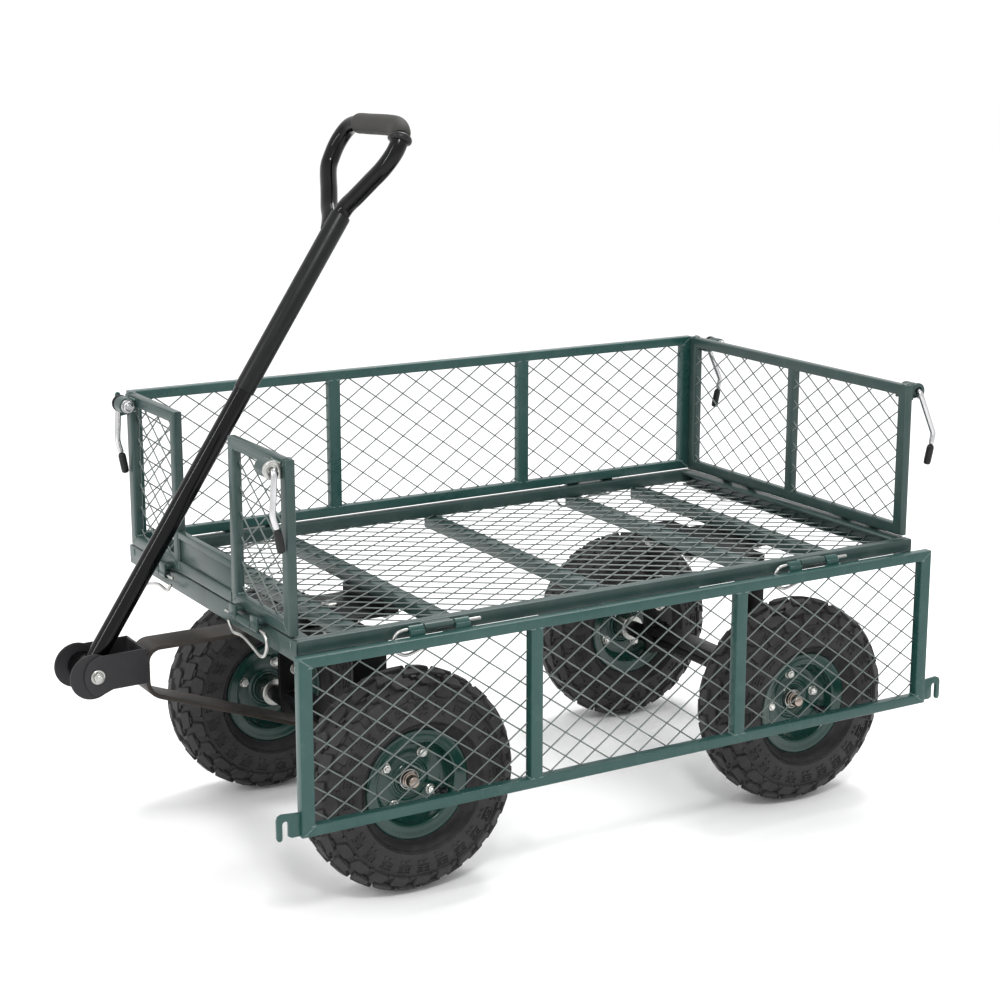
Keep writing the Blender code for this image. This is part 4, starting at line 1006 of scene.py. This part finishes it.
# -------------------- drawbar
def strap():
    low, high = limits("drawbar_strap")
    half, wide = 0.0025, high.y
    top, front = high.z - half, high.x - half
    bend = 0.0158
    line = [Vector((x, 0, top)) for x in (low.x + 0.0012, front - bend - 0.02, front - bend)]
    for n in range(1, 10):
        angle = pi / 2 * (1 - n / 9)
        line.append(Vector((front - bend + bend * cos(angle), 0, top - bend + bend * sin(angle))))
    lower, corner = Vector((0.494, 0, 0.2155)), Vector((front, 0, 0.2215))
    straight = corner + Vector((0, 0, 0.016))
    for n in range(10):
        t = n / 9
        line.append((1 - t) ** 2 * straight + 2 * t * (1 - t) * corner + t**2 * lower)
    line.append(Vector((0.2890, 0, 0.13886)))
    rings = []
    for n, point in enumerate(line):
        into, out = directions(line, n)
        along = (into + out).normalized()
        normal = Vector((-along.z, 0, along.x)) / max(along.dot(into), 0.5)
        rings.append([point + a * Vector((0, 1, 0)) + b * normal for a, b in rounded(wide, half, 0.0011, 3)])
    shape = bmesh.new()
    skin(shape, rings)
    make("strap_bar", shape, "dark_strap", "drawbar_strap", angle=30)


def coupling():
    low, high = limits("coupling")
    place = pivot("handle_tilt")
    nose = Vector((high.x - 0.027, 0, place.z))
    back = low.x
    shape = bmesh.new()
    top, bottom = 0.2795, 0.2376
    for side in (1, -1):
        outline = [(back + 0.001, top - 0.0005), (back + 0.001, bottom + 0.0005), (0.5545, bottom),
                   (0.5640, 0.2338), (0.5740, 0.2322)]
        for n in range(9):
            angle = radians(-52 + 92 * n / 8)
            outline.append((0.5610 + 0.0265 * cos(angle), 0.2553 + 0.0265 * sin(angle)))
        outline += [(0.5755, top - 0.003), (0.5700, top - 0.0012)]
        plate(shape, [(a, side * 0.0272, z) for a, z in outline], (0, side * 0.0028, 0), 0.0007)
        disc(shape, (nose.x - 0.001, side * 0.0249, nose.z), (0, side, 0),
             [(0.0, 0.0252), (0.0006, 0.0260), (0.0018, 0.0260), (0.0024, 0.0254)], 64)
    block(shape, (back + 0.0005, -0.0285, bottom + 0.001), (back + 0.0040, 0.0285, top - 0.001), 0.0008)
    block(shape, (back + 0.003, -0.0278, bottom + 0.0005), (0.552, 0.0278, bottom + 0.0035), 0.0008)
    for side in (1, -1):
        x, y = back + 0.0002, side * 0.0225
        bead(shape, (x, y, bottom + 0.002), (x, y, top - 0.003), 0.0024)
        x, y = back + 0.0008, side * 0.0286
        bead(shape, (x, y, bottom + 0.004), (x, y, top - 0.005), 0.0016)
    make("clevis", shape, "charcoal_paint", "coupling")
    bolt = bmesh.new()
    for side in (1, -1):
        hexagon(bolt, (place.x, side * 0.0302, place.z), (0, side, 0), 0.0064, 0.0044, washer=0.0082,
                thread=0.0036, turned=0.25)
    disc(bolt, (place.x, -0.0312, place.z), (0, 1, 0), [(0.0, 0.0058), (0.0624, 0.0058)], 28)
    make("clevis_bolt", bolt, "zinc", "pivot_bolt")


# -------------------- handle
HANDLE_LEAN = radians(56.5)
LOOP_TILT = radians(7)
TUBE_RADIUS = 0.011
SLEEVE_RADIUS = 0.0121
LOOP_RADIUS = 0.0101


def handle():
    place = pivot("handle_tilt")
    axis = Vector((-cos(HANDLE_LEAN), 0, sin(HANDLE_LEAN)))
    forward = Vector((sin(HANDLE_LEAN), 0, cos(HANDLE_LEAN)))
    tube = bmesh.new()
    rod(tube, [place + axis * s for s in (0.0, 0.012, 0.030, 0.1, 0.2, 0.3, 0.374)], TUBE_RADIUS, 40)
    disc(tube, place - Vector((0, 0.0238, 0)), (0, 1, 0),
         [(0.0, 0.0155), (0.0008, 0.0163), (0.0468, 0.0163), (0.0476, 0.0155)], 48)
    make("pull_tube", tube, "gloss_black", "handle_tube")

    sleeve = bmesh.new()
    ring = [(0.0, 0.0113), (0.0002, 0.0119), (0.0010, SLEEVE_RADIUS), (0.2295, SLEEVE_RADIUS),
            (0.2312, SLEEVE_RADIUS - 0.0004), (0.2318, SLEEVE_RADIUS - 0.0014)]
    disc(sleeve, place + 0.360 * axis, axis, ring, 48)
    make("pull_sleeve", sleeve, "satin_black", body="handle")
    loop_shape = bmesh.new()
    marks = (
        (-0.028, 0.000), (0.006, 0.0015), (0.024, 0.018), (0.043, 0.036), (0.062, 0.0535),
        (0.083, 0.0640), (0.100, 0.062), (0.111, 0.048), (0.113, 0.025), (0.112, -0.020),
        (0.111, -0.050), (0.105, -0.070), (0.087, -0.081), (0.067, -0.082), (0.051, -0.077),
        (0.025, -0.053), (0.006, -0.036), (-0.006, -0.0215), (-0.020, -0.009),
    )
    tilted = cos(LOOP_TILT) * axis + sin(LOOP_TILT) * forward
    base = place + 0.592 * axis
    line = smooth_line([base + (tilted if s > 0 else axis) * s + Vector((0, y, 0)) for s, y in marks], 8)
    rod(loop_shape, line, LOOP_RADIUS, 28)
    make("pull_loop", loop_shape, "gloss_black", "handle_loop", angle=30)
    grip = bmesh.new()
    covered = line[6 * 8:10 * 8 + 1]
    rod(grip, covered, [0.0118] * 3 + [0.0120] * (len(covered) - 3), 40, domed=0.35)
    make("grip_sleeve", grip, "grip_rubber", "hand_grip", angle=40)
    collar = bmesh.new()
    radii = [0.0112, 0.0132, 0.0139, 0.0141, 0.0139, 0.0132, 0.0121]
    rod(collar, smooth_line(line[6 * 8 - 3:6 * 8 + 1], 2), radii, 40)
    make("grip_collar", collar, "vinyl", body="handle", angle=40)


for hand in ("left", "right"):
    side_panel(hand)
for label in ("front", "rear"):
    gate(label)
    for hand in ("left", "right"):
        latch(label, hand)
        wheel(f"{label}_{hand}", 1 if hand == "left" else -1)
bed()
carriage("front_axle", "front_yoke", middle("front_yoke").x - HOME.x)
carriage("rear_axle", "rear_bracket", middle("rear_axle").x - HOME.x)
turntable()
strap()
coupling()
handle()


# -------------------- stage, light and camera
def floor_material():
    s = Shader("floor")
    tone = s.mix(s.noise(1.3, 2.0), (0.965, 0.965, 0.965), (0.945, 0.945, 0.945))
    return s.use(Base_Color=tone, Roughness=0.85)


def stage():
    shape = bmesh.new()
    bmesh.ops.create_grid(shape, x_segments=1, y_segments=1, size=14.0)
    mesh = bpy.data.meshes.new("floor")
    shape.to_mesh(mesh)
    shape.free()
    floor = bpy.data.objects.new("floor", mesh)
    bpy.context.scene.collection.objects.link(floor)
    mesh.materials.append(floor_material())


def area_light(name, place, target, size, power):
    data = bpy.data.lights.new(name, "AREA")
    data.shape = "RECTANGLE"
    data.size, data.size_y = size
    data.energy = power
    lamp = bpy.data.objects.new(name, data)
    bpy.context.scene.collection.objects.link(lamp)
    lamp.location = place
    lamp.rotation_euler = (Vector(target) - Vector(place)).to_track_quat("-Z", "Y").to_euler()


def lights():
    world = bpy.data.worlds.new("studio")
    bpy.context.scene.world = world
    world.use_nodes = True
    background = world.node_tree.nodes["Background"]
    background.inputs["Color"].default_value = (1.0, 1.0, 1.0, 1.0)
    background.inputs["Strength"].default_value = 1.06
    area_light("key", (0.9, 2.1, 2.6), (0, 0, 0.3), (0.5, 0.5), 36)
    area_light("top", (-1.3, -0.9, 3.0), (0, 0, 0.3), (1.1, 1.1), 48)
    area_light("side", (2.7, 0.3, 1.5), (0, 0, 0.5), (0.16, 1.5), 18)


FOCAL_SHARE = 2.11156
CAMERA_PLACE = (1.3364, 2.184, 0.9914)
CAMERA_DROP = 13.3899
CAMERA_HEADING = -120.8316


def camera():
    data = bpy.data.cameras.new("camera")
    data.sensor_width = 36.0
    data.lens = data.sensor_width * FOCAL_SHARE
    eye = bpy.data.objects.new("camera", data)
    bpy.context.scene.collection.objects.link(eye)
    eye.location = HOME + Vector(CAMERA_PLACE)
    eye.rotation_euler = (radians(90 - CAMERA_DROP), 0.0, radians(CAMERA_HEADING - 90 + 360))
    bpy.context.scene.camera = eye
    bpy.context.scene.view_settings.view_transform = "Standard"


stage()
lights()
camera()
